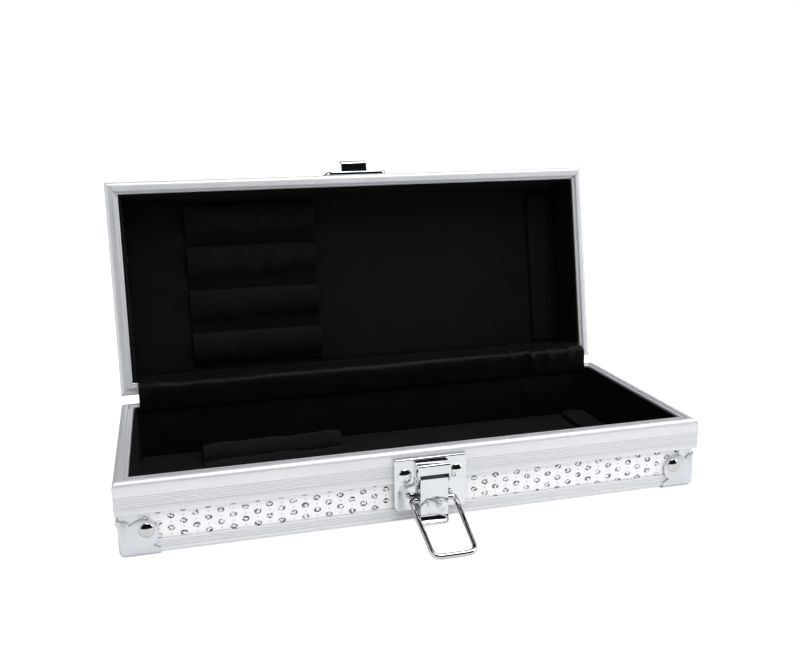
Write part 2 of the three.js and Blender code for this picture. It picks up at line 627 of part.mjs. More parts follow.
// The lever: a folded sheet with a thumb lip at its foot, two pips to grip it by,
// and two ears that carry the pin and the bail
function latchLever() {
  const half = BRIDGE_WIDTH / 2 - LATCH_SHEET - LEVER_PLAY;
  const front = -LEVER_FACE;
  const rear = LEVER_SHEET - LEVER_FACE;
  const face = new THREE.Shape();
  face.moveTo(rear, LEVER_TOP);
  face.lineTo(front, LEVER_TOP);
  face.lineTo(front, LEVER_BEND_TOP);
  face.quadraticCurveTo(front, LEVER_LIP_Z, -LEVER_LIP_REACH, LEVER_LIP_Z);
  face.lineTo(-LEVER_LIP_REACH, LEVER_LIP_Z - LEVER_SHEET);
  face.quadraticCurveTo(rear, LEVER_LIP_Z - LEVER_SHEET, rear, LEVER_BEND_TOP);
  const ear = new THREE.Shape();
  ear.moveTo((front + rear) / 2, LEVER_EAR_BOTTOM);
  ear.lineTo((front + rear) / 2, LEVER_AXIS_Z);
  ear.lineTo(-LEVER_AXIS_Y, LEVER_AXIS_Z + LEVER_EAR_RADIUS);
  ear.absarc(-LEVER_AXIS_Y, LEVER_AXIS_Z, LEVER_EAR_RADIUS, Math.PI / 2, 0, true);
  ear.lineTo(LEVER_EAR_RADIUS - LEVER_AXIS_Y, LEVER_EAR_BOTTOM);
  const lipCentre = LEVER_LIP_CORNER - LEVER_LIP_REACH;
  const plan = new THREE.Shape();
  plan.moveTo(-half - CUT_MARGIN, 0);
  plan.lineTo(-half - CUT_MARGIN, lipCentre);
  plan.absarc(LEVER_LIP_CORNER - half, lipCentre, LEVER_LIP_CORNER, Math.PI, 1.5 * Math.PI, false);
  plan.absarc(half - LEVER_LIP_CORNER, lipCentre, LEVER_LIP_CORNER, 1.5 * Math.PI, 2 * Math.PI, false);
  plan.lineTo(half + CUT_MARGIN, lipCentre);
  plan.lineTo(half + CUT_MARGIN, 0);
  let lever = solidOf(alongX(face, -half, half)).intersect(solidOf(alongZ(plan, 0, LEVER_TOP + CUT_MARGIN)));
  lever = lever.add(solidOf(alongX(ear, -half, LEVER_SHEET - half)));
  lever = lever.add(solidOf(alongX(ear, half - LEVER_SHEET, half)));
  const ends = half + CUT_MARGIN;
  const play = LEVER_PIN_RADIUS + LEVER_PIN_PLAY;
  lever = lever.subtract(solidOf(rodX(play, -ends, ends, -LEVER_AXIS_Y, LEVER_AXIS_Z)));
  const hole = BAIL_WIRE + BAIL_PLAY;
  lever = lever.subtract(solidOf(rodX(hole, -ends, ends, -BAIL_AXIS_Y, BAIL_AXIS_Z)));
  for (const side of [-1, 1]) {
    const pip = new THREE.SphereGeometry(PIP_RADIUS, 10, 6).scale(1, PIP_RISE / PIP_RADIUS, 1);
    pip.translate(side * PIP_SPREAD, front, PIP_Z);
    lever = lever.add(solidOf(pip));
  }
  return geometryOf(lever);
}

// The bail: one bent wire whose two ends turn in through the lever's ears, drawn pointing along -Y
function latchBail() {
  const x = BAIL_HALF_WIDTH;
  const endX = BAIL_END_HALF_WIDTH;
  const inner = BRIDGE_WIDTH / 2 - LATCH_SHEET - LEVER_PLAY - LEVER_SHEET - BAIL_WIRE / 2;
  const corners = [
    { at: [-x, 0], bend: BAIL_END_BEND },
    { at: [-endX, -BAIL_LENGTH], bend: BAIL_BEND },
    { at: [endX, -BAIL_LENGTH], bend: BAIL_BEND },
    { at: [x, 0], bend: BAIL_END_BEND },
  ];
  const point = ([px, py]) => new THREE.Vector3(px, py, 0);
  const path = new THREE.CurvePath();
  const ends = [point([-inner, 0]), point([inner, 0])];
  let last = ends[0];
  corners.forEach(({ at, bend }, i) => {
    const corner = point(at);
    const next = i + 1 < corners.length ? point(corners[i + 1].at) : ends[1];
    const before = corner.clone().addScaledVector(last.clone().sub(corner).normalize(), bend);
    const after = corner.clone().addScaledVector(next.clone().sub(corner).normalize(), bend);
    path.add(new THREE.LineCurve3(last, before));
    path.add(new THREE.QuadraticBezierCurve3(before, corner, after));
    last = after;
  });
  path.add(new THREE.LineCurve3(last, ends[1]));
  const wire = new THREE.Shape().absarc(0, 0, BAIL_WIRE, 0, 2 * Math.PI, false);
  const options = { steps: BAIL_STEPS, bevelEnabled: false, extrudePath: path, curveSegments: 4 };
  return new THREE.ExtrudeGeometry(wire, options);
}

// The catch: the same pan, with a hook like a J that the bail drops into; z = 0 is the parting face
function catchPlate() {
  const hook = new THREE.Shape();
  const root = -LATCH_FACE + LATCH_SHEET / 2;
  const under = HOOK_FLOOR - LATCH_SHEET;
  const inner = LATCH_SHEET - HOOK_REACH;
  hook.moveTo(root, under);
  hook.lineTo(root, HOOK_FLOOR);
  hook.lineTo(HOOK_BEND - HOOK_REACH, HOOK_FLOOR);
  hook.quadraticCurveTo(inner, HOOK_FLOOR, inner, HOOK_FLOOR + HOOK_BEND);
  hook.lineTo(inner, HOOK_FLOOR + HOOK_LIP);
  hook.lineTo(-HOOK_REACH, HOOK_FLOOR + HOOK_LIP);
  hook.lineTo(-HOOK_REACH, HOOK_FLOOR + HOOK_BEND);
  hook.quadraticCurveTo(-HOOK_REACH, under, HOOK_BEND - HOOK_REACH, under);
  const pan = panSolid(CATCH_FOOT, CATCH_FOOT + CATCH_HEIGHT);
  const plate = pan.add(solidOf(alongX(hook, -HOOK_WIDTH / 2, HOOK_WIDTH / 2)));
  return geometryOf(withRivets(plate, CATCH_RIVET_Z));
}

// The satin cloth that covers the gap between the halves inside: up the base's rear wall,
// over a soft fold and along the lid's rear wall, drawn about the hinge axis
function hingeCloth() {
  const from = AXIS_BEHIND + LINING_FACE + CLOTH_CLEARANCE + CLOTH_SHEET / 2;
  const open = THREE.MathUtils.degToRad(-OPEN_ANGLE);
  const onLid = (depth) => new THREE.Vector2(-from, depth).rotateAround(new THREE.Vector2(), open);
  const path = new THREE.CurvePath();
  const wallTop = new THREE.Vector2(-from, -CLOTH_CLEARANCE);
  const lidStart = onLid(CLOTH_CLEARANCE + CLOTH_SHEET);
  const crest = new THREE.Vector2(-from - CLOTH_CLEARANCE, CLOTH_CREST);
  path.add(new THREE.LineCurve(new THREE.Vector2(-from, -CLOTH_BASE_TAIL), wallTop));
  path.add(new THREE.QuadraticBezierCurve(wallTop, crest, lidStart));
  path.add(new THREE.LineCurve(lidStart, onLid(CLOTH_LID_TAIL)));
  const samples = path.getSpacedPoints(CLOTH_STEPS);
  const offset = (side) =>
    samples.map((p, i) => {
      const next = samples[Math.min(i + 1, CLOTH_STEPS)];
      const ahead = next.clone().sub(samples[Math.max(i - 1, 0)]).normalize();
      return new THREE.Vector2(p.x - ahead.y * side, p.y + ahead.x * side);
    });
  const outline = [...offset(CLOTH_SHEET / 2), ...offset(-CLOTH_SHEET / 2).reverse()];
  const half = CASE_LENGTH / 2 - LINING_FACE - CLOTH_END_GAP;
  return alongX(new THREE.Shape(outline), -half, half);
}

// The assembly, drawn about the base's centre and then moved so that its footprint is centred
function buildCase() {
  const model = new THREE.Group();
  const axisY = CASE_DEPTH / 2 + AXIS_BEHIND;
  const axisZ = TRAY_HEIGHT + PARTING_GAP / 2;
  const baseSides = { low: "front", high: "back", left: "left", right: "right" };
  const lidSides = { low: "back", high: "front", left: "left", right: "right" };
  const open = THREE.MathUtils.degToRad(OPEN_ANGLE);
  model.add(buildTray("base", baseSides, 1, false));

  const lidTray = buildTray("lid", lidSides, -1, true);
  lidTray.position.set(0, axisY, -axisZ);
  const lidTurn = new THREE.Group();
  lidTurn.position.set(0, axisY, axisZ);
  lidTurn.rotation.x = Math.PI - open;
  lidTurn.add(lidTray);
  model.add(lidTurn);

  const lidClosed = new THREE.Group();
  lidClosed.position.set(0, axisY, axisZ);
  lidClosed.rotation.x = -open;
  model.add(lidClosed);
  const hingeX = CASE_LENGTH / 2 - HINGE_FROM_END;
  for (const [side, x] of [["left", -hingeX], ["right", hingeX]]) {
    const baseLeaf = named("hinge_" + side + "_base_leaf", hingeLeaf(false), chrome);
    const lidLeaf = named("hinge_" + side + "_lid_leaf", hingeLeaf(true), chrome);
    baseLeaf.position.set(x, axisY, axisZ);
    lidLeaf.position.set(x, 0, 0);
    model.add(baseLeaf);
    lidClosed.add(lidLeaf);
  }
  const catchMesh = named("catch_plate", catchPlate(), chrome);
  catchMesh.position.set(0, -CASE_DEPTH - AXIS_BEHIND, PARTING_GAP / 2);
  lidClosed.add(catchMesh);

  const latch = new THREE.Group();
  latch.position.y = -CASE_DEPTH / 2;
  latch.add(named("latch_plate", latchPlate(), chrome));
  latch.add(named("latch_pin", leverPin(), chrome));
  latch.add(named("latch_lever", latchLever(), chrome));
  const bail = named("latch_bail", latchBail(), chrome);
  bail.position.set(0, -BAIL_AXIS_Y, BAIL_AXIS_Z);
  bail.rotation.x = BAIL_LEAN;
  latch.add(bail);
  model.add(latch);

  const cloth = named("hinge_cloth", hingeCloth(), satin);
  cloth.position.set(0, axisY, axisZ);
  model.add(cloth);
  const bounds = new THREE.Box3().setFromObject(model, true);
  model.position.y = -(bounds.min.y + bounds.max.y) / 2;
  const part = new THREE.Group();
  part.add(model);
  return part;
}

export default buildCase();
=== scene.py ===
"""Brush box: materials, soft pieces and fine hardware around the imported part.

Sizes are millimetres, as in the part's source, and meshes are scaled to metres when they are made.
A tray is drawn opening upwards, standing on z = 0. BASE and LID place it in the row frame.
"""

import math

import bmesh
import bpy
import numpy as np
from mathutils import Matrix, Vector, noise


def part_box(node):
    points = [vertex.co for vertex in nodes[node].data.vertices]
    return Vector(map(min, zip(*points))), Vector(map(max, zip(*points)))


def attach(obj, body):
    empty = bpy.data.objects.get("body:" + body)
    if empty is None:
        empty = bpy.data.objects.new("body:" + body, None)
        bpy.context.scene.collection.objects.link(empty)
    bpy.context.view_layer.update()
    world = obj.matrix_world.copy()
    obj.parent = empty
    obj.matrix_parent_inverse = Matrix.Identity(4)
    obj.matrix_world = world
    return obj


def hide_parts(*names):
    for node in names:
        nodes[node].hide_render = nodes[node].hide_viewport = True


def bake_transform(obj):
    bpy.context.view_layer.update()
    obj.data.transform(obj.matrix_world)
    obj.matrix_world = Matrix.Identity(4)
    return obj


# The case, as in the part's source
CASE_LENGTH = 265.0
CASE_DEPTH = 110.0
TRAY_HEIGHT = 33.3
OPEN_ANGLE = 100.0
HINGE_SETBACK = 2.6
PARTING = 0.15
AXIS_Y = CASE_DEPTH / 2 + HINGE_SETBACK
AXIS_Z = TRAY_HEIGHT + PARTING

MM = 0.001
SHARP = math.radians(35)


def add(name, data):
    """A new object in the scene."""
    o = bpy.data.objects.new(name, data)
    bpy.context.scene.collection.objects.link(o)
    return o


def turn_x(degrees):
    return Matrix.Rotation(math.radians(degrees), 4, "X")


def shift(x, y, z):
    return Matrix.Translation((x, y, z))


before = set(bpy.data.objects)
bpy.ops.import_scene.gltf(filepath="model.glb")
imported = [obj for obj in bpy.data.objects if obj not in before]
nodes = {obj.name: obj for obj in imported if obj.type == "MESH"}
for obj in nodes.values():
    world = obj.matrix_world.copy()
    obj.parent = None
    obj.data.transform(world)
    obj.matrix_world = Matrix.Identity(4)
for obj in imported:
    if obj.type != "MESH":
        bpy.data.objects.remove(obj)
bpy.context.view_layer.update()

# The row frame's origin is in the middle of the open box's footprint, behind the base's centre
CENTRE_Y = (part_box("base_rim_front")[0].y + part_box("base_rim_back")[1].y) / 2 / MM
BASE = shift(0, CENTRE_Y, 0)
HINGE = BASE @ shift(0, AXIS_Y, AXIS_Z)
LID = HINGE @ turn_x(180 - OPEN_ANGLE) @ shift(0, AXIS_Y, -AXIS_Z)
TRAYS = {"base": BASE, "lid": LID}

# The side of each tray, along its own y, that the hinges are on
FACING = {"base": 1, "lid": -1}


class Shader:
    """A material's node tree, with short calls for the nodes used here."""

    def __init__(self, name):
        self.material = bpy.data.materials.new(name)
        self.material.use_nodes = True
        self.tree = self.material.node_tree
        self.tree.nodes.clear()
        self.bsdf = self.tree.nodes.new("ShaderNodeBsdfPrincipled")
        output = self.tree.nodes.new("ShaderNodeOutputMaterial")
        self.tree.links.new(self.bsdf.outputs[0], output.inputs[0])

    def put(self, value, socket):
        """Link a socket, or set a plain value."""
        if isinstance(value, bpy.types.NodeSocket):
            self.tree.links.new(value, socket)
        else:
            socket.default_value = value

    def node(self, kind, inputs=None, **settings):
        made = self.tree.nodes.new(kind)
        for key, value in settings.items():
            setattr(made, key, value)
        for key, value in (inputs or {}).items():
            self.put(value, made.inputs[key])
        return made

    def math(self, operation, a, b=0.0, c=0.0):
        return self.node("ShaderNodeMath", {0: a, 1: b, 2: c}, operation=operation).outputs[0]

    def plus(self, a, b):
        return self.math("ADD", a, b)

    def minus(self, a, b):
        return self.math("SUBTRACT", a, b)

    def times(self, a, b):
        return self.math("MULTIPLY", a, b)

    def over(self, a, b):
        return self.math("DIVIDE", a, b)

    def length(self, a, b):
        return self.math("SQRT", self.math("ADD", self.math("POWER", a, 2.0), self.math("POWER", b, 2.0)))

    def random(self, *cell):
        return self.node("ShaderNodeTexWhiteNoise", {"Vector": self.join(*cell)}).outputs["Value"]

    def remap(self, value, low, high, to_low=0.0, to_high=1.0):
        inputs = {"Value": value, "From Min": low, "From Max": high, "To Min": to_low, "To Max": to_high}
        return self.node("ShaderNodeMapRange", inputs).outputs[0]

    def mix(self, factor, a, b):
        return self.node("ShaderNodeMix", {0: factor, 6: a, 7: b}, data_type="RGBA").outputs[2]

    def noise(self, vector, scale, detail=3.0, roughness=0.5):
        inputs = {"Vector": vector, "Scale": scale, "Detail": detail, "Roughness": roughness}
        return self.node("ShaderNodeTexNoise", inputs).outputs["Fac"]

    def split(self, vector):
        return self.node("ShaderNodeSeparateXYZ", {0: vector}).outputs

    def join(self, x, y, z=0.0):
        return self.node("ShaderNodeCombineXYZ", {0: x, 1: y, 2: z}).outputs[0]

    def stretch(self, vector, x, y, z):
        inputs = {0: vector, 1: (x, y, z)}
        return self.node("ShaderNodeVectorMath", inputs, operation="MULTIPLY").outputs[0]

    def bump(self, height, distance, strength):
        inputs = {"Height": height, "Distance": distance * MM, "Strength": strength}
        return self.node("ShaderNodeBump", inputs).outputs[0]

    def place(self, tray=None):
        """Millimetres in the tray's own directions. A piece that is drawn in them needs no turn."""
        coordinates = self.tree.nodes.new("ShaderNodeTexCoord").outputs["Object"]
        mapping = self.node("ShaderNodeMapping", {0: coordinates})
        mapping.inputs["Scale"].default_value = (1000, 1000, 1000)
        if tray is not None:
            back = TRAYS[tray].inverted()
            mapping.inputs["Rotation"].default_value = back.to_euler()
            mapping.inputs["Location"].default_value = back.translation
        return mapping.outputs[0]

    def set(self, **values):
        names = {
            "colour": "Base Color",
            "metal": "Metallic",
            "rough": "Roughness",
            "normal": "Normal",
            "specular": "Specular IOR Level",
            "sheen": "Sheen Weight",
            "sheen_rough": "Sheen Roughness",
            "sheen_tint": "Sheen Tint",
        }
        for key, value in values.items():
            self.put(value, self.bsdf.inputs[names[key]])
        return self.material


def grey(value, blue=1.0):
    return (value, value, value * blue, 1.0)


def aluminium(name, along, tray):
    """Satin aluminium, drawn along the bar."""
    s = Shader(name)
    p = s.place(tray)
    lengths = {"x": (0.02, 1, 1), "y": (1, 0.02, 1), "z": (1, 1, 0.02)}[along]
    fine = s.noise(s.stretch(p, *lengths), 6.0, 4.0, 0.7)
    cloud = s.noise(p, 0.035, 3.0)
    shade = s.math("MULTIPLY_ADD", fine, 0.10, s.times(cloud, 0.10))
    colour = s.mix(shade, (0.79, 0.80, 0.82, 1), (0.68, 0.69, 0.71, 1))
    rough = s.remap(s.plus(fine, cloud), 0.7, 1.3, 0.40, 0.52)
    return s.set(colour=colour, metal=0.58, rough=rough, normal=s.bump(fine, 0.015, 0.3))


def pressed_steel(name, colour, rough_low, rough_high, relief=0.12):
    """Plated steel with small handling marks."""
    s = Shader(name)
    p = s.place()
    marks = s.noise(s.stretch(p, 1, 1, 0.3), 1.6, 5.0, 0.75)
    cloud = s.noise(p, 0.12, 2.0)
    rough = s.remap(s.plus(marks, cloud), 0.7, 1.3, rough_low, rough_high)
    tint = s.mix(s.remap(cloud, 0.3, 0.8), colour, tuple(c * 0.93 for c in colour[:3]) + (1,))
    return s.set(colour=tint, metal=1.0, rough=rough, normal=s.bump(marks, 0.01, relief))


# The printed stones: their pitch, how their columns climb and bow across the panel, and their size
STONE_PITCH_X = 5.068
STONE_PITCH_Z = 5.4
STONE_SLOPE = 0.0112
STONE_BOW = 0.000048
STONE_START = (21.2, 11.34)
STONE_RADIUS = 1.56
STONE_FLATTEN = 1.3


def stone_tone(s, column, row, from_x, from_z, share):
    """The greys of one stone: a girdle of wedges, a crown of other greys and a pale table in the middle."""
    turn = s.plus(s.math("ARCTAN2", from_z, from_x), s.times(s.random(column, row), 6.28))
    wedge = s.over(turn, math.pi / 4)
    facet = s.math("FLOOR", wedge)
    girdle = s.remap(s.random(column, row, facet), 0.3, 0.7, 0.01, 0.7)
    crown = s.remap(s.random(row, facet, s.plus(column, 40.0)), 0.25, 0.65, 0.08, 1.0)
    line = s.math("GREATER_THAN", s.math("ABSOLUTE", s.minus(s.math("FRACT", wedge), 0.5)), 0.42)
    crown = s.times(crown, s.minus(1.0, s.times(line, 0.7)))
    ring = s.remap(share, 0.66, 0.70)
    tone = s.plus(s.times(ring, girdle), s.times(s.minus(1.0, ring), crown))
    table = s.remap(share, 0.30, 0.26)
    return s.math("MAXIMUM", tone, s.times(table, 0.9))


def printed_panel(name, plane, tray):
    """White laminate with staggered columns of printed stones, and a small dot between two stones."""
    s = Shader(name)
    x, y, z = s.split(s.place(tray))
    across, up = {"xz": (x, z), "yz": (y, z), "xy": (x, y)}[plane]
    across = s.minus(across, STONE_START[0])
    climb = s.times(across, s.math("MULTIPLY_ADD", across, STONE_BOW, STONE_SLOPE))
    up = s.minus(s.minus(up, STONE_START[1]), climb)
    a = s.over(across, STONE_PITCH_X)
    column = s.math("ROUND", a)
    odd = s.times(s.math("FLOORED_MODULO", column, 2.0), 0.5)
    b = s.plus(s.over(up, STONE_PITCH_Z), odd)
    row = s.math("ROUND", b)
    from_x = s.times(s.minus(a, column), STONE_PITCH_X)
    from_z = s.times(s.minus(b, row), STONE_PITCH_Z * STONE_FLATTEN)
    share = s.over(s.length(from_x, from_z), STONE_RADIUS)
    tone = stone_tone(s, column, row, from_x, from_z, share)
    stone = s.remap(share, 1.02, 0.97)
    dot_z = s.times(s.minus(s.math("ABSOLUTE", s.minus(b, row)), 0.5), STONE_PITCH_Z)
    dot = s.times(s.remap(s.length(from_x, dot_z), 0.42, 0.30), 0.45)
    paper = s.noise(s.place(tray), 3.0, 3.0)
    marked = s.mix(dot, s.mix(paper, grey(0.93, 1.01), grey(0.89, 1.01)), grey(0.25))
    printed = s.node("ShaderNodeCombineColor", {0: tone, 1: tone, 2: tone}).outputs[0]
    rough = s.remap(stone, 0.0, 1.0, 0.38, 0.22)
    height = s.plus(s.times(stone, 0.5), s.times(paper, 0.15))
    colour = s.mix(stone, marked, printed)
    return s.set(colour=colour, rough=rough, normal=s.bump(height, 0.05, 0.4), specular=0.5)


def use(material, *names):
    """Give CAD nodes a material, and smooth shading that keeps their sharp edges."""
    for name in names:
        o = nodes[name]
        for slot in o.material_slots:
            slot.material = material
        modifier = o.modifiers.new("soft", "NODES")
        modifier.node_group = smooth_by_angle()
        bevel = o.modifiers.new("edge", "BEVEL")
        bevel.width = 0.12 * MM
        bevel.segments = 2
        bevel.limit_method = "ANGLE"
        bevel.angle_limit = SHARP
        bevel.harden_normals = True


def smooth_by_angle():
    """A node group that joins a mesh's split corners and shades it smooth up to 35 degrees."""
    if "smooth by angle" in bpy.data.node_groups:
        return bpy.data.node_groups["smooth by angle"]
    group = bpy.data.node_groups.new("smooth by angle", "GeometryNodeTree")
    for way in ("INPUT", "OUTPUT"):
        group.interface.new_socket("Geometry", in_out=way, socket_type="NodeSocketGeometry")
    new, link = group.nodes.new, group.links.new
    start = new("NodeGroupInput")
    merge = new("GeometryNodeMergeByDistance")
    merge.inputs["Distance"].default_value = 0.002 * MM
    faces = new("GeometryNodeSetShadeSmooth")
    faces.domain = "FACE"
    angle = new("GeometryNodeInputMeshEdgeAngle")
    compare = new("ShaderNodeMath")
    compare.operation = "GREATER_THAN"
    compare.inputs[1].default_value = SHARP
    edges = new("GeometryNodeSetShadeSmooth")
    edges.domain = "EDGE"
    edges.inputs["Shade Smooth"].default_value = False
    end = new("NodeGroupOutput")
    link(start.outputs[0], merge.inputs["Geometry"])
    link(merge.outputs[0], faces.inputs["Geometry"])
    link(angle.outputs["Unsigned Angle"], compare.inputs[0])
    link(faces.outputs[0], edges.inputs["Geometry"])
    link(compare.outputs[0], edges.inputs["Selection"])
    link(edges.outputs[0], end.inputs[0])
    return group


def dress_hard_parts():
    """Materials for the CAD's metal bars and printed panels."""
    steel = pressed_steel("chrome", (0.86, 0.87, 0.88, 1), 0.04, 0.10)
    for tray in TRAYS:
        along_x = aluminium(tray + "_aluminium_x", "x", tray)
        along_y = aluminium(tray + "_aluminium_y", "y", tray)
        along_z = aluminium(tray + "_aluminium_z", "z", tray)
        for side in ("front", "back"):
            use(along_x, f"{tray}_rim_{side}", f"{tray}_edge_{side}")
            use(printed_panel(f"{tray}_print_{side}", "xz", tray), f"{tray}_panel_{side}")
            for end in ("left", "right"):
                use(along_z, f"{tray}_corner_trim_{side}_{end}")
        for side in ("left", "right"):
            use(along_y, f"{tray}_rim_{side}", f"{tray}_edge_{side}")
            use(printed_panel(f"{tray}_print_{side}", "yz", tray), f"{tray}_panel_{side}")
        use(printed_panel(f"{tray}_print_outer", "xy", tray), f"{tray}_panel_outer")
    use(steel, "latch_pin")
    for side in ("left", "right"):
        use(steel, f"hinge_{side}_base_leaf", f"hinge_{side}_lid_leaf")


# Making pieces
def metres(matrix):
    """The same placing, with its shift in metres."""
    moved = matrix.copy()
    moved.translation = matrix.translation * MM
    return moved


def piece(name, mesh, matrix, body, material, stands_for=()):
    """Place a mesh drawn in a tray's metres, and let it ride on its body."""
    o = add(name, mesh)
    o.matrix_world = metres(matrix)
    if not mesh.materials:
        mesh.materials.append(material)
    if body:
        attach(o, body)
    if stands_for:
        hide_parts(*stands_for)
    return o


def shade(mesh, sharp=35):
    mesh.polygons.foreach_set("use_smooth", [True] * len(mesh.polygons))
    if sharp < 180:
        mesh.set_sharp_from_angle(angle=math.radians(sharp))
    return mesh


def mesh_of(name, points, faces, sharp=180):
    """A mesh from points in millimetres."""
    mesh = bpy.data.meshes.new(name)
    mesh.from_pydata((np.asarray(points, float) * MM).tolist(), [], faces)
    mesh.validate()
    mesh.update()
    bm = bmesh.new()
    bm.from_mesh(mesh)
    bmesh.ops.recalc_face_normals(bm, faces=bm.faces)
    bm.to_mesh(mesh)
    bm.free()
    return shade(mesh, sharp)


def skin(rows, close_rows=False, close_columns=False, cap_ends=False):
    """Points and faces of a grid of points, rows[i][j]. Either direction can close on itself."""
    rows = np.asarray(rows, float)
    count, width = rows.shape[:2]
    faces = []
    for i in range(count if close_rows else count - 1):
        for j in range(width if close_columns else width - 1):
            k, m = (i + 1) % count, (j + 1) % width
            faces.append((i * width + j, i * width + m, k * width + m, k * width + j))
    if cap_ends:
        faces.append(tuple(range(width - 1, -1, -1)))
        faces.append(tuple((count - 1) * width + j for j in range(width)))
    return rows.reshape(-1, 3), faces


def wave(seed, place, octaves=2):
    """Smooth random value of about -1 to 1 at a place, the same in each run."""
    spot = Vector((place[0] + 17.3 * seed, place[1] + 5.1 * seed, 3.7 * seed))
    return noise.fractal(spot, 0.6, 2.0, octaves) * 1.3


def ease(value, low, high):
    """A smooth step from 0 at low to 1 at high."""
    t = min(1.0, max(0.0, (value - low) / (high - low)))
    return t * t * (3 - 2 * t)


def curve3(a, b, c, steps):
    """Points of a quadratic curve, both ends included."""
    ts = np.linspace(0, 1, steps + 1)
    return [tuple(a[k] * (1 - t) ** 2 + 2 * b[k] * t * (1 - t) + c[k] * t * t for k in (0, 1)) for t in ts]


def straight(a, b, steps):
    """Points of a line, without its last."""
    return [tuple(a[k] + (b[k] - a[k]) * t for k in (0, 1)) for t in np.linspace(0, 1, steps + 1)[:-1]]


# Black cloth, elastic and satin
def cloth_material(name, colour, sheen, rough, weave, thread, puckers, specular=0.06):
    s = Shader(name)
    p = s.place()
    x, y, z = s.split(p)
    slow = s.noise(p, 0.05, 3.0)
    fuzz = s.noise(p, 2.4, 4.0, 0.7)
    waves = []
    for first, second in ((x, s.plus(y, z)), (s.plus(y, z), x)):
        lines = s.math("SINE", s.times(first, 2 * math.pi / thread))
        cross = s.math("SINE", s.times(second, math.pi / thread))
        waves.append(s.times(lines, s.math("MULTIPLY_ADD", cross, 0.5, 0.5)))
    threads = s.plus(*waves)
    height = s.math("MULTIPLY_ADD", threads, weave, s.times(fuzz, puckers))
    deep, pale = tuple(c * 0.75 for c in colour) + (1,), tuple(c * 1.35 for c in colour) + (1,)
    tone = s.mix(s.math("MULTIPLY_ADD", threads, 0.2, slow), deep, pale)
    s.set(colour=tone, rough=s.remap(slow, 0.3, 0.7, rough - 0.06, rough + 0.06), specular=specular)
    s.set(sheen=sheen, sheen_rough=0.45, sheen_tint=grey(0.9))
    return s.set(normal=s.bump(height, 0.08, 0.5))


LINING_FACE = 7.4
LINING_BACK = 6.5
WALL_LOW = 4.9
WALL_TOP = 32.5
FLOOR = 6.1
BOARD_LOW = 4.9
WALL_CORNER = 1.6
INNER_X = CASE_LENGTH / 2 - LINING_FACE
INNER_Y = CASE_DEPTH / 2 - LINING_FACE

# Soft upright folds near the ends of the rear wall: middle x, width, size, slope
REAR_FOLDS = (
    (60, 4.0, 0.6, 0.3),
    (78, 2.2, 1.5, 0.25),
    (89, 1.8, 1.7, -0.2),
    (99, 2.2, 1.6, 0.3),
    (110, 2.6, 1.8, 0.2),
    (-112, 3.0, 0.8, -0.2),
)


def wall_loop():
    """Points round the inner walls, each with its direction out of the case."""
    loop = []
    for along, face, reach in (
        ((0, 1), INNER_X, INNER_Y),
        ((-1, 0), INNER_Y, INNER_X),
        ((0, -1), INNER_X, INNER_Y),
        ((1, 0), INNER_Y, INNER_X),
    ):
        out = np.array((along[1], -along[0]), float)
        along = np.array(along, float)
        straight = reach - WALL_CORNER
        count = int(straight / 1.6)
        for i in range(count + 1):
            loop.append((out * face + along * straight * (2 * i / count - 1), out))
        centre = out * (face - WALL_CORNER) + along * straight
        for turn in (22.5, 45, 67.5):
            a = math.radians(turn)
            toward = out * math.cos(a) + along * math.sin(a)
            loop.append((centre + WALL_CORNER * toward, toward))
    return loop


def wall_lift(xy, z, rear):
    """How far the cloth stands off the wall at a point: slow waves, and folds on the rear wall."""
    share = math.sin(math.pi * min(1, max(0, (z - WALL_LOW) / (WALL_TOP - WALL_LOW))))
    lift = 0.16 * (1 + wave(1, (xy[0] / 14 + xy[1] / 11, z / 9)))
    if rear:
        for middle, width, size, slope in REAR_FOLDS:
            fold = math.exp(-(((xy[0] - middle - slope * (z - 20)) / width) ** 2))
            lift += 1.3 * size * fold * (1 - ease(z, 23, 30.5))
    return lift * (0.15 + 0.85 * share) * ease(z, FLOOR + 0.5, FLOOR + 7)


def wall_lining(tray, material):
    """The cloth on the four inner walls: one band with soft corners and a rolled upper edge."""
    thick = LINING_FACE - LINING_BACK
    roll, roll_z = thick / 2, WALL_TOP - thick / 2
    profile = [(0, z) for z in np.linspace(WALL_LOW, roll_z, 15)]
    profile += [
        (roll * (1 - math.cos(a)), roll_z + roll * math.sin(a)) for a in np.linspace(0.4, math.pi - 0.4, 5)
    ]
    profile += [(thick, z) for z in np.linspace(roll_z, WALL_LOW, 4)]
    rows = []
    for xy, out in wall_loop():
        rear = xy[1] * FACING[tray] > INNER_Y - 1
        row = []
        for inward, z in profile:
            lift = wall_lift(xy, z, rear) if inward < thick else 0.0
            row.append((*(xy - out * (lift - inward)), z))
        rows.append(row)
    name = f"{tray}_wall_cloth"
    mesh = mesh_of(name, *skin(rows, close_rows=True, close_columns=True))
    return piece(name, mesh, TRAYS[tray], tray, material, [f"{tray}_lining"])


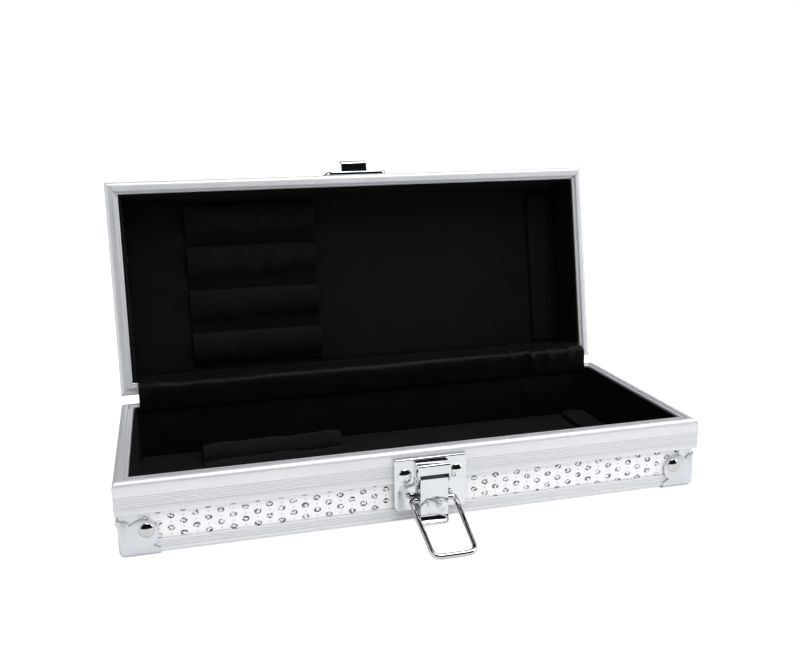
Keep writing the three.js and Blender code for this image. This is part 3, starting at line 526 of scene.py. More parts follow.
def floor_cloth(tray, material):
    """The cloth-covered board on the floor, with rolled edges."""
    half_x, half_y = INNER_X - 0.1, INNER_Y - 0.1
    roll = 0.55

    def spread(half):
        inner = np.linspace(-half + roll, half - roll, int(2 * half / 3))
        return np.concatenate(([-half], [-half + roll * 0.3], inner, [half - roll * 0.3], [half]))

    xs, ys = spread(half_x), spread(half_y)
    rows = []
    for x in xs:
        row = []
        for y in ys:
            edge = min(half_x - abs(x), half_y - abs(y))
            drop = roll - math.sqrt(max(0.0, roll**2 - max(0.0, roll - edge) ** 2))
            ripple = 0.09 * wave(2, (x / 26, y / 20)) * ease(edge, 0, 6)
            row.append((x, y, FLOOR - 0.1 - drop + ripple))
        rows.append(row)
    points, faces = skin(rows)
    nx, ny = len(xs), len(ys)
    ring = [i * ny for i in range(nx)] + [(nx - 1) * ny + j for j in range(1, ny)]
    ring += [i * ny + ny - 1 for i in range(nx - 2, -1, -1)] + list(range(ny - 2, 0, -1))
    start = len(points)
    under = points[ring]
    under[:, 2] = BOARD_LOW
    points = np.vstack((points, under))
    for k, a in enumerate(ring):
        m = (k + 1) % len(ring)
        faces.append((a, ring[m], start + m, start + k))
    faces.append(tuple(range(start, start + len(ring))))
    name = f"{tray}_floor_cloth"
    mesh = mesh_of(name, points, faces, 60)
    return piece(name, mesh, TRAYS[tray], tray, material, [f"{tray}_board"])


SLEEVE_LOW_X = 39 - CASE_LENGTH / 2
SLEEVE_LENGTH = 71.0
SLEEVE_WIDTH = 15.0
SLEEVE_PITCH = 23.2
SLEEVE_NEAREST = AXIS_Y - 15.2 - SLEEVE_WIDTH / 2
SLEEVE_RISE = 6.8
SLEEVE_FLOOR = FLOOR + 0.2
SLEEVE_SEAM = SLEEVE_FLOOR + 0.55
SLEEVE_AROUND = 26
GATHER = 1.7

# Each sleeve, one by one: how far it is sewn off its place, and how its closed end leans
SLEEVE_MISS = (-0.3, 0.2, 1.1, 0.1)
SLEEVE_SAG = (0.6, -0.5, 0.4, -1.8)


def sleeve_row(tray, index, x):
    """One section of a sleeve at x from its closed end: a flattened arch between two sewn hems."""
    seed = index + (10 if tray == "base" else 20)
    facing = FACING[tray]
    middle = facing * (SLEEVE_NEAREST - index * SLEEVE_PITCH - SLEEVE_MISS[index])
    phase = 2 * math.pi * (x / GATHER + 0.35 * wave(seed, (x / 9, 0)))
    open_end = ease(x, 56, SLEEVE_LENGTH)
    shut_end = 1 - ease(x, 0, 9)
    rise = SLEEVE_RISE * (0.88 + 0.12 * wave(seed + 1, (x / 17, 1)) + 0.12 * open_end - 0.22 * shut_end)
    reach = SLEEVE_WIDTH / 2 * (0.97 + 0.03 * wave(seed + 2, (x / 12, 2)) - 0.03 * open_end)
    sag = SLEEVE_SAG[index] * shut_end + 0.8 * wave(seed + 3, (x / 22, 3))
    lean, hang = 0.6 * sag, 0.0
    if tray == "lid":
        lean, hang = sag - 3.0, 1.2 * wave(seed + 7, (x / 13, 0))
    row = []
    for t in np.linspace(0, 1, SLEEVE_AROUND + 1):
        c, s = math.cos(math.pi * t), math.sin(math.pi * t)
        y = math.copysign(abs(c) ** 0.9, c) * reach + hang * max(0.0, c)
        z = max(0.0, s) ** 0.8 * rise
        ridge = math.cos(phase + 0.8 * wave(seed + 4, (x / 4, 4 * t)))
        deep = 0.16 + 0.10 * wave(seed + 5, (x / 3, t * 5)) + 0.22 * (abs(c) ** 3)
        push = ridge * deep * ease(s, 0.0, 0.25)
        side = middle + facing * (y + lean * s) + c * push
        row.append((SLEEVE_LOW_X + x, side, SLEEVE_SEAM + z + s * push))
    hem = facing * (1.3 + 0.35 * math.cos(phase) * (0.6 + 0.4 * wave(seed + 6, (x / 5, 0))))
    hem_z = SLEEVE_SEAM + 0.12 * math.cos(phase)
    first, last = row[0], row[-1]
    return [(first[0], first[1] + hem, hem_z), *row, (last[0], last[1] - hem, hem_z)]


def sleeve(tray, index, material):
    """One shirred elastic tube, flattened on its backing, with its right end held open."""
    columns = int(SLEEVE_LENGTH / GATHER * 7)
    rows = [sleeve_row(tray, index, SLEEVE_LENGTH * i / columns) for i in range(columns + 1)]
    name = f"{tray}_sleeve_{index + 1}"
    o = piece(name, mesh_of(name, *skin(rows)), TRAYS[tray], tray, material)
    thicken(o, 0.45)
    return o


def thicken(o, amount):
    modifier = o.modifiers.new("thickness", "SOLIDIFY")
    modifier.thickness = amount * MM
    modifier.offset = 0.0
    modifier.use_rim = True


def sleeve_backing(tray, material):
    """The strip of cloth that the four sleeves are sewn to."""
    facing = FACING[tray]
    near = SLEEVE_NEAREST + SLEEVE_WIDTH / 2 + 3
    far = SLEEVE_NEAREST - 3 * SLEEVE_PITCH - SLEEVE_WIDTH / 2 - 3
    rows = []
    for i in range(61):
        x = SLEEVE_LOW_X - 0.6 + (SLEEVE_LENGTH + 1.2) * i / 60
        row = []
        for j in range(71):
            y = far + (near - far) * j / 70
            fray = 0.3 * wave(31, (y / 5, 0)) * (ease(i, 57, 60) - 1 + ease(i, 0, 3))
            lift = 0.08 * wave(32, (x / 8, y / 8))
            row.append((x + fray, facing * y, SLEEVE_FLOOR + 0.22 + lift))
        rows.append(row)
    name = f"{tray}_sleeve_backing"
    mesh = mesh_of(name, *skin(rows))
    o = piece(name, mesh, TRAYS[tray], tray, material, [f"{tray}_sleeves"])
    thicken(o, 0.3)
    return o


STRIP_LOW_X = 240 - CASE_LENGTH / 2
STRIP_WIDTH = 14.0
STRIP_HALF = INNER_Y - 5
STRIP_HEIGHT = 3.0
STRIP_REACH = {"base": 0.0, "lid": 3.0}


def end_strip(tray, material):
    """The padded strip at the right end: a soft roll, drawn in along its sewn edges."""
    rows = []
    count = 90
    around = 36
    for i in range(count + 1):
        t = 2 * i / count - 1
        y = STRIP_HALF * t - (1 - t) / 2 * STRIP_REACH[tray]
        end = max(0.02, 1 - abs(t) ** 26) ** 0.5
        row = []
        for j in range(around):
            a = 2 * math.pi * j / around
            c, s = math.cos(a), math.sin(a)
            across = math.copysign(abs(c) ** 0.55, c) * STRIP_WIDTH / 2
            plump = 1 + 0.10 * wave(41, (y / 8, c * 1.5))
            up = math.copysign(abs(s) ** 0.8, s)
            high = up * (STRIP_HEIGHT / 2) * (plump if s > 0 else 1.0) * (0.75 + 0.25 * end)
            pull = 0.25 * math.cos(2 * math.pi * y / 5.5) * abs(c) ** 8
            x = STRIP_LOW_X + STRIP_WIDTH / 2 + across * (0.93 + 0.07 * end) + pull * c
            row.append((x, y, FLOOR + 0.15 + STRIP_HEIGHT / 2 + high))
        rows.append(row)
    name = f"{tray}_end_pad"
    mesh = mesh_of(name, *skin(rows, close_columns=True, cap_ends=True), 70)
    o = piece(name, mesh, TRAYS[tray], tray, material, [f"{tray}_end_strip"])
    return o


# The satin strip over the hinge line, as points (y, z) about the hinge axis
CLOTH_FROM = 10.65
CLOTH_HALF = INNER_X - 2
CLOTH_TAIL = 3.0
CLOTH_LID_TAIL = 13.0
CLOTH_TOP = -0.3
CLOTH_CREST = (-10.0, 10.8)
CLOTH_COLUMNS = 420

# Folds of the satin strip: middle x, width, size outwards, slope
STRIP_FOLDS = (
    (78, 2.4, 0.9, 0.3),
    (90, 2.2, 1.2, -0.3),
    (101, 2.4, 1.1, 0.2),
    (113, 3.0, 1.3, 0.4),
    (-115, 5.0, 0.9, 0.2),
    (30, 16.0, 0.5, 0.5),
    (-50, 20.0, 0.4, -0.5),
)


def on_lid(depth):
    """A point on the lid's rear wall cloth, this deep in the lid."""
    a = math.radians(-OPEN_ANGLE)
    y, z = -CLOTH_FROM, depth
    return np.array((y * math.cos(a) - z * math.sin(a), y * math.sin(a) + z * math.cos(a)))


def strip_path():
    """The satin's section: up the base's rear wall, over a soft crest and on to the lid."""
    start = np.array((-CLOTH_FROM, -CLOTH_TAIL))
    top = np.array((-CLOTH_FROM, CLOTH_TOP))
    crest = np.array(CLOTH_CREST)
    lid = on_lid(1.0)
    shoulder = crest + (top - crest) * 0.42
    slope = crest + (lid - crest) * 0.36
    path = straight(start, top, 4) + straight(top, shoulder, 8)
    path += curve3(shoulder, crest, slope, 19)[:-1] + straight(slope, lid, 11)
    path += straight(lid, on_lid(CLOTH_LID_TAIL), 13) + [tuple(on_lid(CLOTH_LID_TAIL))]
    return np.array(path)


def strip_lift(x, t):
    """How far the satin stands off its path, at a share t of its way. Only the free part has folds."""
    free = max(0.0, math.sin(math.pi * ease(t, 0.0, 0.72))) if t < 0.72 else 0.0
    lift = 0.30 * wave(51, (x / 30, t * 2)) * free
    for middle, width, size, slope in STRIP_FOLDS:
        lift += size * math.exp(-(((x - middle - slope * (t - 0.3) * 30) / width) ** 2)) * free
    lift += 0.10 * wave(52, (x / 5, t * 3)) * ease(t, 0.02, 0.1)
    return max(lift, -0.25)


def hinge_strip(material):
    """Satin over the hinge line, from the base's rear wall to the lid's."""
    path = strip_path()
    ahead = np.gradient(path, axis=0)
    ahead /= np.linalg.norm(ahead, axis=1)[:, None]
    normal = np.stack((-ahead[:, 1], ahead[:, 0]), 1)
    rows = []
    for i in range(CLOTH_COLUMNS + 1):
        x = -CLOTH_HALF + 2 * CLOTH_HALF * i / CLOTH_COLUMNS
        row = []
        for j, (p, n) in enumerate(zip(path, normal)):
            q = p + n * strip_lift(x, j / (len(path) - 1))
            row.append((x, AXIS_Y + q[0], AXIS_Z + q[1]))
        rows.append(row)
    mesh = mesh_of("hinge_satin", *skin(rows))
    o = piece("hinge_satin", mesh, BASE, None, material, ["hinge_cloth"])
    thicken(o, 0.4)
    return o


def dress_soft_parts():
    lining = cloth_material("lining_cloth", (0.0027, 0.0027, 0.0030), 0.010, 0.75, 0.25, 0.45, 0.5)
    board = cloth_material("board_cloth", (0.0048, 0.0048, 0.0051), 0.012, 0.75, 0.25, 0.45, 0.5)
    elastic = cloth_material("elastic_cloth", (0.0050, 0.0050, 0.0053), 0.03, 0.8, 0.45, 0.5, 0.6)
    satin = cloth_material("satin_cloth", (0.0028, 0.0028, 0.0031), 0.006, 0.38, 0.15, 0.3, 0.3, 0.07)
    under = cloth_material("backing_cloth", (0.0026, 0.0026, 0.0029), 0.01, 0.8, 0.35, 0.5, 0.6)
    for tray in TRAYS:
        walls = wall_lining(tray, lining)
        floor = floor_cloth(tray, board)
        backing = sleeve_backing(tray, under)
        for index in range(4):
            sleeve(tray, index, elastic)
        end_strip(tray, board)
    strip = hinge_strip(satin)
    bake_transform(strip)


# Pressed and bent metal, cut from prisms
def arc(x, y, radius, start, end, steps):
    turns = np.radians(np.linspace(start, end, steps + 1))
    return [(x + radius * math.cos(a), y + radius * math.sin(a)) for a in turns]


def shape_object(points, faces):
    return add("solid", mesh_of("solid", points, faces))


def prism(outline, axis, low, high):
    """A closed prism. Its outline is drawn in (y, z), (x, z) or (x, y), across its axis."""
    place = "xyz".index(axis)
    count = len(outline)
    points = [(*point[:place], level, *point[place:]) for level in (low, high) for point in outline]
    faces = [tuple(range(count)), tuple(range(2 * count - 1, count - 1, -1))]
    faces += [(i, (i + 1) % count, count + (i + 1) % count, count + i) for i in range(count)]
    return shape_object(points, faces)


def block(low, high):
    (a, b, c), (d, e, f) = low, high
    return prism([(a, b), (d, b), (d, e), (a, e)], "z", c, f)


def settle(o):
    """Apply an object's modifiers."""
    depsgraph = bpy.context.evaluated_depsgraph_get()
    mesh = bpy.data.meshes.new_from_object(o.evaluated_get(depsgraph))
    o.modifiers.clear()
    o.data = mesh
    return o


def combine(target, operation, *tools):
    for tool in tools:
        modifier = target.modifiers.new("cut", "BOOLEAN")
        modifier.operation = operation
        modifier.solver = "EXACT"
        modifier.object = tool
        settle(target)
        bpy.data.objects.remove(tool)
    return target


def round_edges(o, width, segments=2):
    """Round the sharp edges, and shade the rest smooth."""
    modifier = o.modifiers.new("round", "BEVEL")
    modifier.width = width * MM
    modifier.segments = segments
    modifier.limit_method = "ANGLE"
    modifier.angle_limit = SHARP
    modifier.use_clamp_overlap = True
    settle(o)
    shade(o.data, 50)
    return o


def bevel_edges(mesh, offset, segments, wanted):
    """Round the edges that are wanted."""
    bm = bmesh.new()
    bm.from_mesh(mesh)
    edges = [e for e in bm.edges if wanted(e)]
    bmesh.ops.bevel(bm, geom=edges, offset=offset * MM, segments=segments, profile=0.5, affect="EDGES")
    bm.to_mesh(mesh)
    bm.free()


def rounded_corner_block(low, size, radius, segments):
    """A block whose edges are rounded, with its low corner at the three values of low."""
    o = block(low, tuple(v + size for v in low))
    bevel_edges(o.data, radius, segments, lambda e: True)
    return o


CAP_INSET = 0.5
CAP_SHEET = 0.5
CAP_WIDTH = 16.5
CAP_ROUND = 2.4
CAP_COLUMN_RADIUS = 2.5
CAP_COLUMN_TOP = 16.3
CAP_FOOT_TOP = 3.0
CAP_LOBE_RADIUS = 6.3
CAP_LOBE = (10.0, 9.9)
CAP_NOTCH = -55
CAP_RIVET = (11.6, 11.5)
RIVET_RADIUS = 3.25
RIVET_HEIGHT = 1.4
RIVET_FOOT = 0.30
RIVET_SIDES = 32


def cap_outline(shift_by):
    centre = CAP_COLUMN_TOP - CAP_COLUMN_RADIUS
    dip = 180 - math.degrees(math.asin((centre - CAP_LOBE[1]) / CAP_LOBE_RADIUS))
    points = [(0, 0), (CAP_WIDTH, 0), (CAP_WIDTH, CAP_FOOT_TOP)]
    points += arc(*CAP_LOBE, CAP_LOBE_RADIUS, CAP_NOTCH, dip, 28)
    points += arc(CAP_COLUMN_RADIUS, centre, CAP_COLUMN_RADIUS, 0, 90, 8)[1:]
    points.append((0, CAP_COLUMN_TOP))
    return [(x + shift_by, z) for x, z in points]


def cap_mesh():
    """A pressed corner cap at the corner where x and y grow inwards."""
    far = 50.0
    shell = rounded_corner_block((CAP_INSET, CAP_INSET, 0), far, CAP_ROUND, 7)
    inner = CAP_INSET + CAP_SHEET
    core = rounded_corner_block((inner, inner, CAP_SHEET), far, CAP_ROUND - CAP_SHEET, 7)
    combine(shell, "DIFFERENCE", core)
    reach = CAP_ROUND + CAP_SHEET
    front = prism(cap_outline(CAP_INSET), "y", -1, reach)
    flank = prism(cap_outline(CAP_INSET), "x", -1, reach)
    foot = [(0, 0), (CAP_WIDTH, 0), (CAP_WIDTH, CAP_FOOT_TOP)]
    foot += curve3((CAP_WIDTH, CAP_FOOT_TOP), (CAP_LOBE[1],) * 2, (CAP_FOOT_TOP, CAP_WIDTH), 12)[1:]
    foot.append((0, CAP_WIDTH))
    floor = prism([(x + CAP_INSET, y + CAP_INSET) for x, y in foot], "z", -1, 2 * CAP_SHEET)
    combine(front, "UNION", flank, floor)
    combine(shell, "INTERSECT", front)
    round_edges(shell, 0.14)
    mesh = shell.data
    bpy.data.objects.remove(shell)
    return mesh


def dome_mesh(name, radius, height):
    """A rivet head on the plane y = 0, standing out towards -Y, with a thin shadow line at its foot."""
    edge, rise = radius * 0.985, height - RIVET_FOOT
    ball_radius = (edge**2 + rise**2) / (2 * rise)
    steepest = math.asin(edge / ball_radius)
    profile = [(radius * 0.93, 0.0), (radius * 0.97, -0.06), (radius, -0.16), (edge, -RIVET_FOOT)]
    profile += [
        (ball_radius * math.sin(a), ball_radius * (1 - math.cos(a)) - height)
        for a in np.linspace(steepest, 0, 10)[1:-1]
    ]
    turns = np.linspace(0, 2 * math.pi, RIVET_SIDES + 1)[:-1]
    rows = [[(r * math.cos(a), y, r * math.sin(a)) for a in turns] for r, y in profile]
    points, faces = skin(rows, close_columns=True)
    tip, last = len(points), len(points) - RIVET_SIDES
    points = np.vstack((points, (0, -height, 0)))
    faces += [(last + j, last + (j + 1) % RIVET_SIDES, tip) for j in range(RIVET_SIDES)]
    faces.append(tuple(range(RIVET_SIDES - 1, -1, -1)))
    return mesh_of(name, points, faces, 70)


def corner_caps(material, rivet_material):
    """Eight caps, each turned to its corner, with a rivet on both upright faces."""
    cap = cap_mesh()
    dome = dome_mesh("rivet", RIVET_RADIUS, RIVET_HEIGHT)
    for tray in TRAYS:
        near, far = ("front", "back") if tray == "base" else ("back", "front")
        for x, y, turn, label in (
            (-1, -1, 0, near + "_left"),
            (1, -1, 90, near + "_right"),
            (1, 1, 180, far + "_right"),
            (-1, 1, 270, far + "_left"),
        ):
            corner = shift(x * CASE_LENGTH / 2, y * CASE_DEPTH / 2, 0)
            at = TRAYS[tray] @ corner @ Matrix.Rotation(math.radians(turn), 4, "Z")
            name = f"{tray}_cap_{label}"
            piece(name, cap, at, tray, material, [f"{tray}_corner_cap_{label}"])
            first = at @ shift(CAP_INSET + CAP_RIVET[0], CAP_INSET, CAP_RIVET[1])
            second = at @ shift(CAP_INSET, CAP_INSET + CAP_RIVET[0], CAP_RIVET[1])
            second = second @ Matrix.Rotation(math.radians(-90), 4, "Z")
            piece(f"{tray}_rivet_{label}_a", dome, first, tray, rivet_material)
            piece(f"{tray}_rivet_{label}_b", dome, second, tray, rivet_material)


# The toggle latch; y counts from the case's front face, z from the table
LATCH_HALF = 16.5
LATCH_BOTTOM = 6.5
LATCH_TOP = 30.6
LATCH_FACE = 2.2
LATCH_SHEET = 0.8
LATCH_CORNER = 3.0
LATCH_BACK = 0.2
BRIDGE_HALF = 7.3
BRIDGE_REACH = 7.65
BRIDGE_TOP = 29.0
BRIDGE_BAR = 4.6
BRIDGE_SHOULDER = 23.0
BRIDGE_BOTTOM = 16.5
BRIDGE_TOE = 3.0
BRIDGE_ROUND = 1.0
LATCH_RIVET_X = 11.8
LATCH_RIVET_Z = 22.9
LEVER_AXIS = (-4.4, 20.6)
LEVER_HALF = 6.2
LEVER_FACE = 7.0
LEVER_TOP = 22.3
LEVER_BEND = 7.2
LIP_REACH = 10.0
LIP_Z = 3.0
LIP_CORNER = 2.6
EAR_RADIUS = 1.8
EAR_BOTTOM = 9.9
PIP_X = 2.9
PIP_Z = 11.5
BAIL_AXIS = (-4.6, 12.2)
BAIL_WIRE = 1.2
BAIL_HALF = 10.0
BAIL_END_HALF = 9.2
BAIL_LENGTH = 33.5
BAIL_BEND = 4.2
BAIL_END_BEND = 1.8
CATCH_LOW = 3.0
CATCH_HIGH = 27.0
HOOK_HALF = 7.2
HOOK_REACH = 8.7
HOOK_FLOOR = 10.7
HOOK_LIP = 4.0
HOOK_BEND = 2.0
CATCH_RIVET_Z = 18.0
CATCH_RIVET_HEIGHT = 0.9


def pan(low, high):
    """A shallow pressed pan with rolled front edges and rounded lower corners."""

    def outline(inset, corner):
        x, z0, z1 = LATCH_HALF - inset, low + inset, high - inset
        top = 0.8 if inset == 0 else 0.3
        points = arc(-x + corner, z0 + corner, corner, 180, 270, 8)
        points += arc(x - corner, z0 + corner, corner, 270, 360, 8)
        points += arc(x - top, z1 - top, top, 0, 90, 3)
        points += arc(-x + top, z1 - top, top, 90, 180, 3)
        return points

    shell = prism(outline(0, LATCH_CORNER), "y", -LATCH_FACE, -LATCH_BACK)
    front = -(LATCH_FACE - 0.01) * MM
    bevel_edges(shell.data, 0.75, 5, lambda e: all(v.co.y < front for v in e.verts))
    hollow = outline(LATCH_SHEET, LATCH_CORNER - LATCH_SHEET)
    return combine(shell, "DIFFERENCE", prism(hollow, "y", LATCH_SHEET - LATCH_FACE, 1))


def hardware(name, o, at, body, material, stands_for):
    """Turn a worked solid into a piece of the latch."""
    mesh = o.data
    bpy.data.objects.remove(o)
    mesh.name = name
    piece(name, mesh, at, body, material, [stands_for])


def rivet_pair(name, height, at, z, body, material):
    dome = dome_mesh(name, RIVET_RADIUS, height)
    for side, label in ((-1, "left"), (1, "right")):
        spot = at @ shift(side * LATCH_RIVET_X, -LATCH_FACE, z)
        piece(f"{name}_{label}", dome, spot, body, material)


def latch(material, wire_material):
    """The plate with its bridge, and what is hung on it and faces it."""
    at = BASE @ shift(0, -CASE_DEPTH / 2, 0)
    root = -LATCH_FACE + LATCH_SHEET / 2
    flank = [(root, BRIDGE_BOTTOM), (root, BRIDGE_TOP)]
    flank += arc(BRIDGE_ROUND - BRIDGE_REACH, BRIDGE_TOP - BRIDGE_ROUND, BRIDGE_ROUND, 90, 180, 6)
    flank += [(-BRIDGE_REACH, BRIDGE_SHOULDER), (-BRIDGE_TOE, BRIDGE_BOTTOM)]
    cavity = BRIDGE_HALF - LATCH_SHEET
    plate = combine(pan(LATCH_BOTTOM, LATCH_TOP), "UNION", prism(flank, "x", -BRIDGE_HALF, BRIDGE_HALF))
    room = block((-cavity, LATCH_SHEET - BRIDGE_REACH, BRIDGE_BOTTOM), (cavity, 1, BRIDGE_TOP - LATCH_SHEET))
    mouth_low = (-cavity, -BRIDGE_REACH - 1, BRIDGE_BOTTOM - 1)
    mouth = block(mouth_low, (cavity, -LATCH_FACE, BRIDGE_TOP - BRIDGE_BAR))
    combine(plate, "DIFFERENCE", room, mouth)
    round_edges(plate, 0.22, 3)
    hardware("latch_bridge_plate", plate, at, "base", material, "latch_plate")
    rivet_pair("latch_rivet", RIVET_HEIGHT, at, LATCH_RIVET_Z, "base", material)
    lever(at, material)
    bail(at, wire_material)
    catch(material)


def lever(at, material):
    """A folded sheet with a thumb lip, two ears and two pips, each with a ridge that fades below it."""
    front, rear = -LEVER_FACE, LATCH_SHEET - LEVER_FACE
    low = LIP_Z - LATCH_SHEET
    face = [(rear, LEVER_TOP), (front, LEVER_TOP)]
    face += curve3((front, LEVER_BEND), (front, LIP_Z), (-LIP_REACH, LIP_Z), 12)
    face += curve3((-LIP_REACH, low), (rear, low), (rear, LEVER_BEND), 14)
    body = prism(face, "x", -LEVER_HALF, LEVER_HALF)
    half, corner = LEVER_HALF + 0.01, LIP_CORNER
    plan = [(-half, 0), (-half, corner - LIP_REACH)]
    plan += arc(corner - LEVER_HALF, corner - LIP_REACH, corner, 180, 270, 8)
    plan += arc(LEVER_HALF - corner, corner - LIP_REACH, corner, 270, 360, 8)
    plan += [(half, corner - LIP_REACH), (half, 0)]
    combine(body, "INTERSECT", prism(plan, "z", 0, LEVER_TOP + 1))
    ear = [((front + rear) / 2, EAR_BOTTOM), ((front + rear) / 2, LEVER_AXIS[1])]
    ear += arc(*LEVER_AXIS, EAR_RADIUS, 90, 0, 8)
    ear += [(LEVER_AXIS[0] + EAR_RADIUS, EAR_BOTTOM)]
    for low_x, high_x in ((-LEVER_HALF, LATCH_SHEET - LEVER_HALF), (LEVER_HALF - LATCH_SHEET, LEVER_HALF)):
        combine(body, "UNION", prism(ear, "x", low_x, high_x))
    for (y, z), radius in ((LEVER_AXIS, 0.92), (BAIL_AXIS, BAIL_WIRE + 0.15)):
        circle = arc(y, z, radius, 0, 360, 20)[:-1]
        combine(body, "DIFFERENCE", prism(circle, "x", -LEVER_HALF - 1, LEVER_HALF + 1))
    round_edges(body, 0.2, 3)
    for side in (-1, 1):
        pip = ball((side * PIP_X, front, PIP_Z), (1.05, 0.62, 1.05))
        ridge = ball((side * PIP_X, front + 0.1, PIP_Z - 2.4), (0.85, 0.34, 3.0))
        combine(body, "UNION", pip, ridge)
    shade(body.data, 40)
    hardware("latch_thumb_lever", body, at, "lever", material, "latch_lever")


def ball(centre, radii):
    """A smooth closed egg, for the swell of a pressed pip."""
    bm = bmesh.new()
    bmesh.ops.create_icosphere(bm, subdivisions=3, radius=1.0)
    for v in bm.verts:
        v.co = Vector([(centre[k] + v.co[k] * radii[k]) * MM for k in range(3)])
    mesh = bpy.data.meshes.new("swell")
    bm.to_mesh(mesh)
    bm.free()
    return add("swell", mesh)


def bail(at, material):
    """One bent wire, whose ends turn in through the lever's ears."""
    inner = LEVER_HALF - LATCH_SHEET - BAIL_WIRE / 2
    lean = math.asin((BAIL_AXIS[1] - BAIL_WIRE) / BAIL_LENGTH)
    upper, lower = np.array((BAIL_HALF, 0)), np.array((BAIL_END_HALF, -BAIL_LENGTH))
    leg = (lower - upper) / np.linalg.norm(lower - upper)
    half = [(inner, 0)]
    half += curve3(upper - (BAIL_END_BEND, 0), upper, upper + leg * BAIL_END_BEND, 8)
    half += curve3(lower - leg * BAIL_BEND, lower, lower - (BAIL_BEND, 0), 14)
    path = [(-x, y) for x, y in half] + half[::-1]
    path = np.array([(x, y * math.cos(lean), y * math.sin(lean)) for x, y in path])
    ahead = np.gradient(path, axis=0)
    ahead /= np.linalg.norm(ahead, axis=1)[:, None]
    up = np.array((0, -math.sin(lean), math.cos(lean)))
    turns = np.linspace(0, 2 * math.pi, 25)[:-1]
    rows = []
    for p, d in zip(path, ahead):
        side = np.cross(d, up)
        side /= np.linalg.norm(side)
        over = np.cross(side, d)
        rows.append([p + BAIL_WIRE * (side * math.cos(a) + over * math.sin(a)) for a in turns])
    mesh = mesh_of("latch_wire_bail", *skin(rows, close_columns=True, cap_ends=True), 60)
    spot = at @ shift(0, BAIL_AXIS[0], BAIL_AXIS[1])
    piece("latch_wire_bail", mesh, spot, "bail", material, ["latch_bail"])


def catch(material):
    """The lid's plate with its hook; z counts from the lid's parting face.

    Its rivets are lower than the latch's, so that the raised bail passes over them.
    """
    at = HINGE @ turn_x(-OPEN_ANGLE) @ shift(0, -CASE_DEPTH - HINGE_SETBACK, PARTING)
    root = -LATCH_FACE + LATCH_SHEET / 2
    under, inner = HOOK_FLOOR - LATCH_SHEET, LATCH_SHEET - HOOK_REACH
    bend_y, bend_z, lip = HOOK_BEND - HOOK_REACH, HOOK_FLOOR + HOOK_BEND, HOOK_FLOOR + HOOK_LIP
    hook = [(root, under), (root, HOOK_FLOOR)]
    hook += curve3((bend_y, HOOK_FLOOR), (inner, HOOK_FLOOR), (inner, bend_z), 8)
    hook += [(inner, lip), (-HOOK_REACH, lip)]
    hook += curve3((-HOOK_REACH, bend_z), (-HOOK_REACH, under), (bend_y, under), 8)
    plate = combine(pan(CATCH_LOW, CATCH_HIGH), "UNION", prism(hook, "x", -HOOK_HALF, HOOK_HALF))
    round_edges(plate, 0.22, 3)
    hardware("catch_hook_plate", plate, at, "lid", material, "catch_plate")
    rivet_pair("catch_rivet", CATCH_RIVET_HEIGHT, at, CATCH_RIVET_Z, "lid", material)


def dress_fittings():
    steel = pressed_steel("cap_steel_fine", (0.705, 0.73, 0.76, 1), 0.27, 0.34, 0.03)
    chrome = pressed_steel("chrome_fine", (0.745, 0.765, 0.785, 1), 0.05, 0.10)
    bright = pressed_steel("rivet_bright", (0.62, 0.61, 0.615, 1), 0.05, 0.10)
    corner_caps(steel, bright)
    latch(chrome, bright)


# The camera at the photograph's viewpoint, found from the case's corners, in the base tray's frame
CAMERA_AT = (-103.98, -408.08, 172.81)
CAMERA_FORWARD = (0.24437, 0.94161, -0.23164)
CAMERA_UP = (0.07462, 0.21992, 0.97266)
CAMERA_LENS = 40.4


def make_camera():
    data = bpy.data.cameras.new("camera")
    camera = add("camera", data)
    back = -Vector(CAMERA_FORWARD).normalized()
    up = Vector(CAMERA_UP).normalized()
    right = up.cross(back).normalized()
    turn = Matrix((right, back.cross(right), back)).transposed()
    camera.matrix_world = Matrix.Translation(BASE @ Vector(CAMERA_AT) * MM) @ turn.to_4x4()
    data.lens = CAMERA_LENS
    data.sensor_width = 36
    data.clip_start = 0.01
    data.clip_end = 20
    bpy.context.scene.camera = camera


# Plain soft light from above and in front, and a white floor and background
def area_light(name, place, aim, size, power, mirrored=True):
    """A soft lamp. One that isn't mirrored lights the box but doesn't show in its metal."""
    data = bpy.data.lights.new(name, "AREA")
    data.shape = "RECTANGLE"
    data.size, data.size_y = size
    data.energy = power
    lamp = add(name, data)
    lamp.location = place
    lamp.visible_glossy = mirrored
    lamp.rotation_euler = (Vector(aim) - Vector(place)).to_track_quat("-Z", "Y").to_euler()


def make_lamps():
    area_light("top", (0.3, -0.25, 1.6), (0, 0, 0), (1.5, 1.1), 19.5)
    area_light("front", (0.3, -1.6, 1.7), (0, 0, 0.03), (1.2, 0.8), 15.5, False)
    area_light("side", (1.6, -0.7, 0.9), (0, 0, 0.03), (1.0, 1.0), 6.0)


def make_world():
    """Dim cool light from all round, seen as plain white by the camera and in metal."""
    world = bpy.data.worlds.new("studio")
    bpy.context.scene.world = world
    world.use_nodes = True
    tree, link = world.node_tree.nodes, world.node_tree.links.new
    light = tree["Background"]
    light.inputs["Color"].default_value = (0.93, 0.95, 1.0, 1)
    light.inputs["Strength"].default_value = 0.4
    white = tree.new("ShaderNodeBackground")
    white.inputs["Color"].default_value = (1, 1, 1, 1)
    ray = tree.new("ShaderNodeLightPath")
    seen = ray.outputs["Is Camera Ray"]
    for kind in ("Is Glossy Ray", "Is Transmission Ray"):
        either = tree.new("ShaderNodeMath")
        either.operation = "MAXIMUM"
        link(seen, either.inputs[0])
        link(ray.outputs[kind], either.inputs[1])
        seen = either.outputs[0]
    mix = tree.new("ShaderNodeMixShader")
    for index, output in enumerate((seen, light.outputs[0], white.outputs[0])):
        link(output, mix.inputs[index])
    link(mix.outputs[0], tree["World Output"].inputs[0])


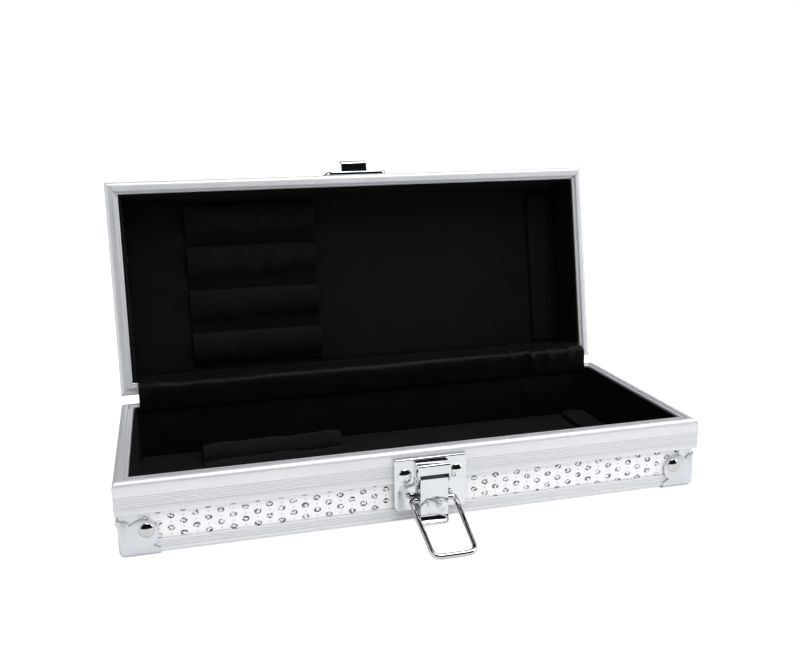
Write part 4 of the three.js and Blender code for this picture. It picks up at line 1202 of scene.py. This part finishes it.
def make_floor():
    """A pale table that carries the object's soft shadow."""
    half = 3.0
    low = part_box("base_corner_cap_front_left")[0].z - 0.0002
    mesh = bpy.data.meshes.new("floor")
    corners = [(-half, -half, low), (half, -half, low), (half, half, low), (-half, half, low)]
    mesh.from_pydata(corners, [], [(0, 1, 2, 3)])
    floor = add("floor", mesh)
    s = Shader("floor")
    ray = s.tree.nodes.new("ShaderNodeLightPath")
    seen = ray.outputs["Is Camera Ray"]
    grain = s.noise(s.place(), 0.01, 2.0)
    s.set(colour=s.mix(grain, grey(0.86), grey(0.84)), rough=0.9, specular=0.1)
    s.put((1, 1, 1, 1), s.bsdf.inputs["Emission Color"])
    s.put(s.times(seen, 0.75), s.bsdf.inputs["Emission Strength"])
    mesh.materials.append(s.material)


# Angles of the dark room's foot and top, and of the half width and top of its windows, in degrees
TENT_LOW = 0.5
TENT_TOP = 88.0
TENT_WINDOW_HALF = 38
TENT_WINDOW_TOP = 48


def make_dark_tent():
    """A dark room round the table, open at both sides. Only metal shows it, in its curves."""
    radius, rings, spokes = 2.8, 16, 48
    points = []
    for i in range(rings + 1):
        high = math.radians(TENT_LOW + (TENT_TOP - TENT_LOW) * i / rings)
        for j in range(spokes):
            turn = 2 * math.pi * j / spokes
            points.append((
                radius * math.cos(high) * math.sin(turn),
                -radius * math.cos(high) * math.cos(turn),
                radius * math.sin(high),
            ))
    faces = []
    for i in range(rings):
        for j in range(spokes):
            turn = 360 * (j + 0.5) / spokes
            high = TENT_LOW + (TENT_TOP - TENT_LOW) * (i + 0.5) / rings
            at_side = min(abs(turn - 90), abs(turn - 270)) < TENT_WINDOW_HALF
            if not (at_side and high < TENT_WINDOW_TOP):
                k, m = i * spokes + j, i * spokes + (j + 1) % spokes
                faces.append((k, m, m + spokes, k + spokes))
    mesh = bpy.data.meshes.new("dark_tent")
    mesh.from_pydata(points, [], faces)
    tent = add("dark_tent", mesh)
    s = Shader("dark_tent")
    s.set(colour=grey(0.015), rough=1.0, specular=0.0)
    mesh.materials.append(s.material)
    tent.visible_camera = False
    tent.visible_diffuse = False
    tent.visible_shadow = False
    tent.visible_transmission = False


make_camera()
make_lamps()
make_world()
make_dark_tent()
make_floor()
dress_hard_parts()
dress_soft_parts()
dress_fittings()

bpy.context.scene.view_settings.view_transform = "Standard"
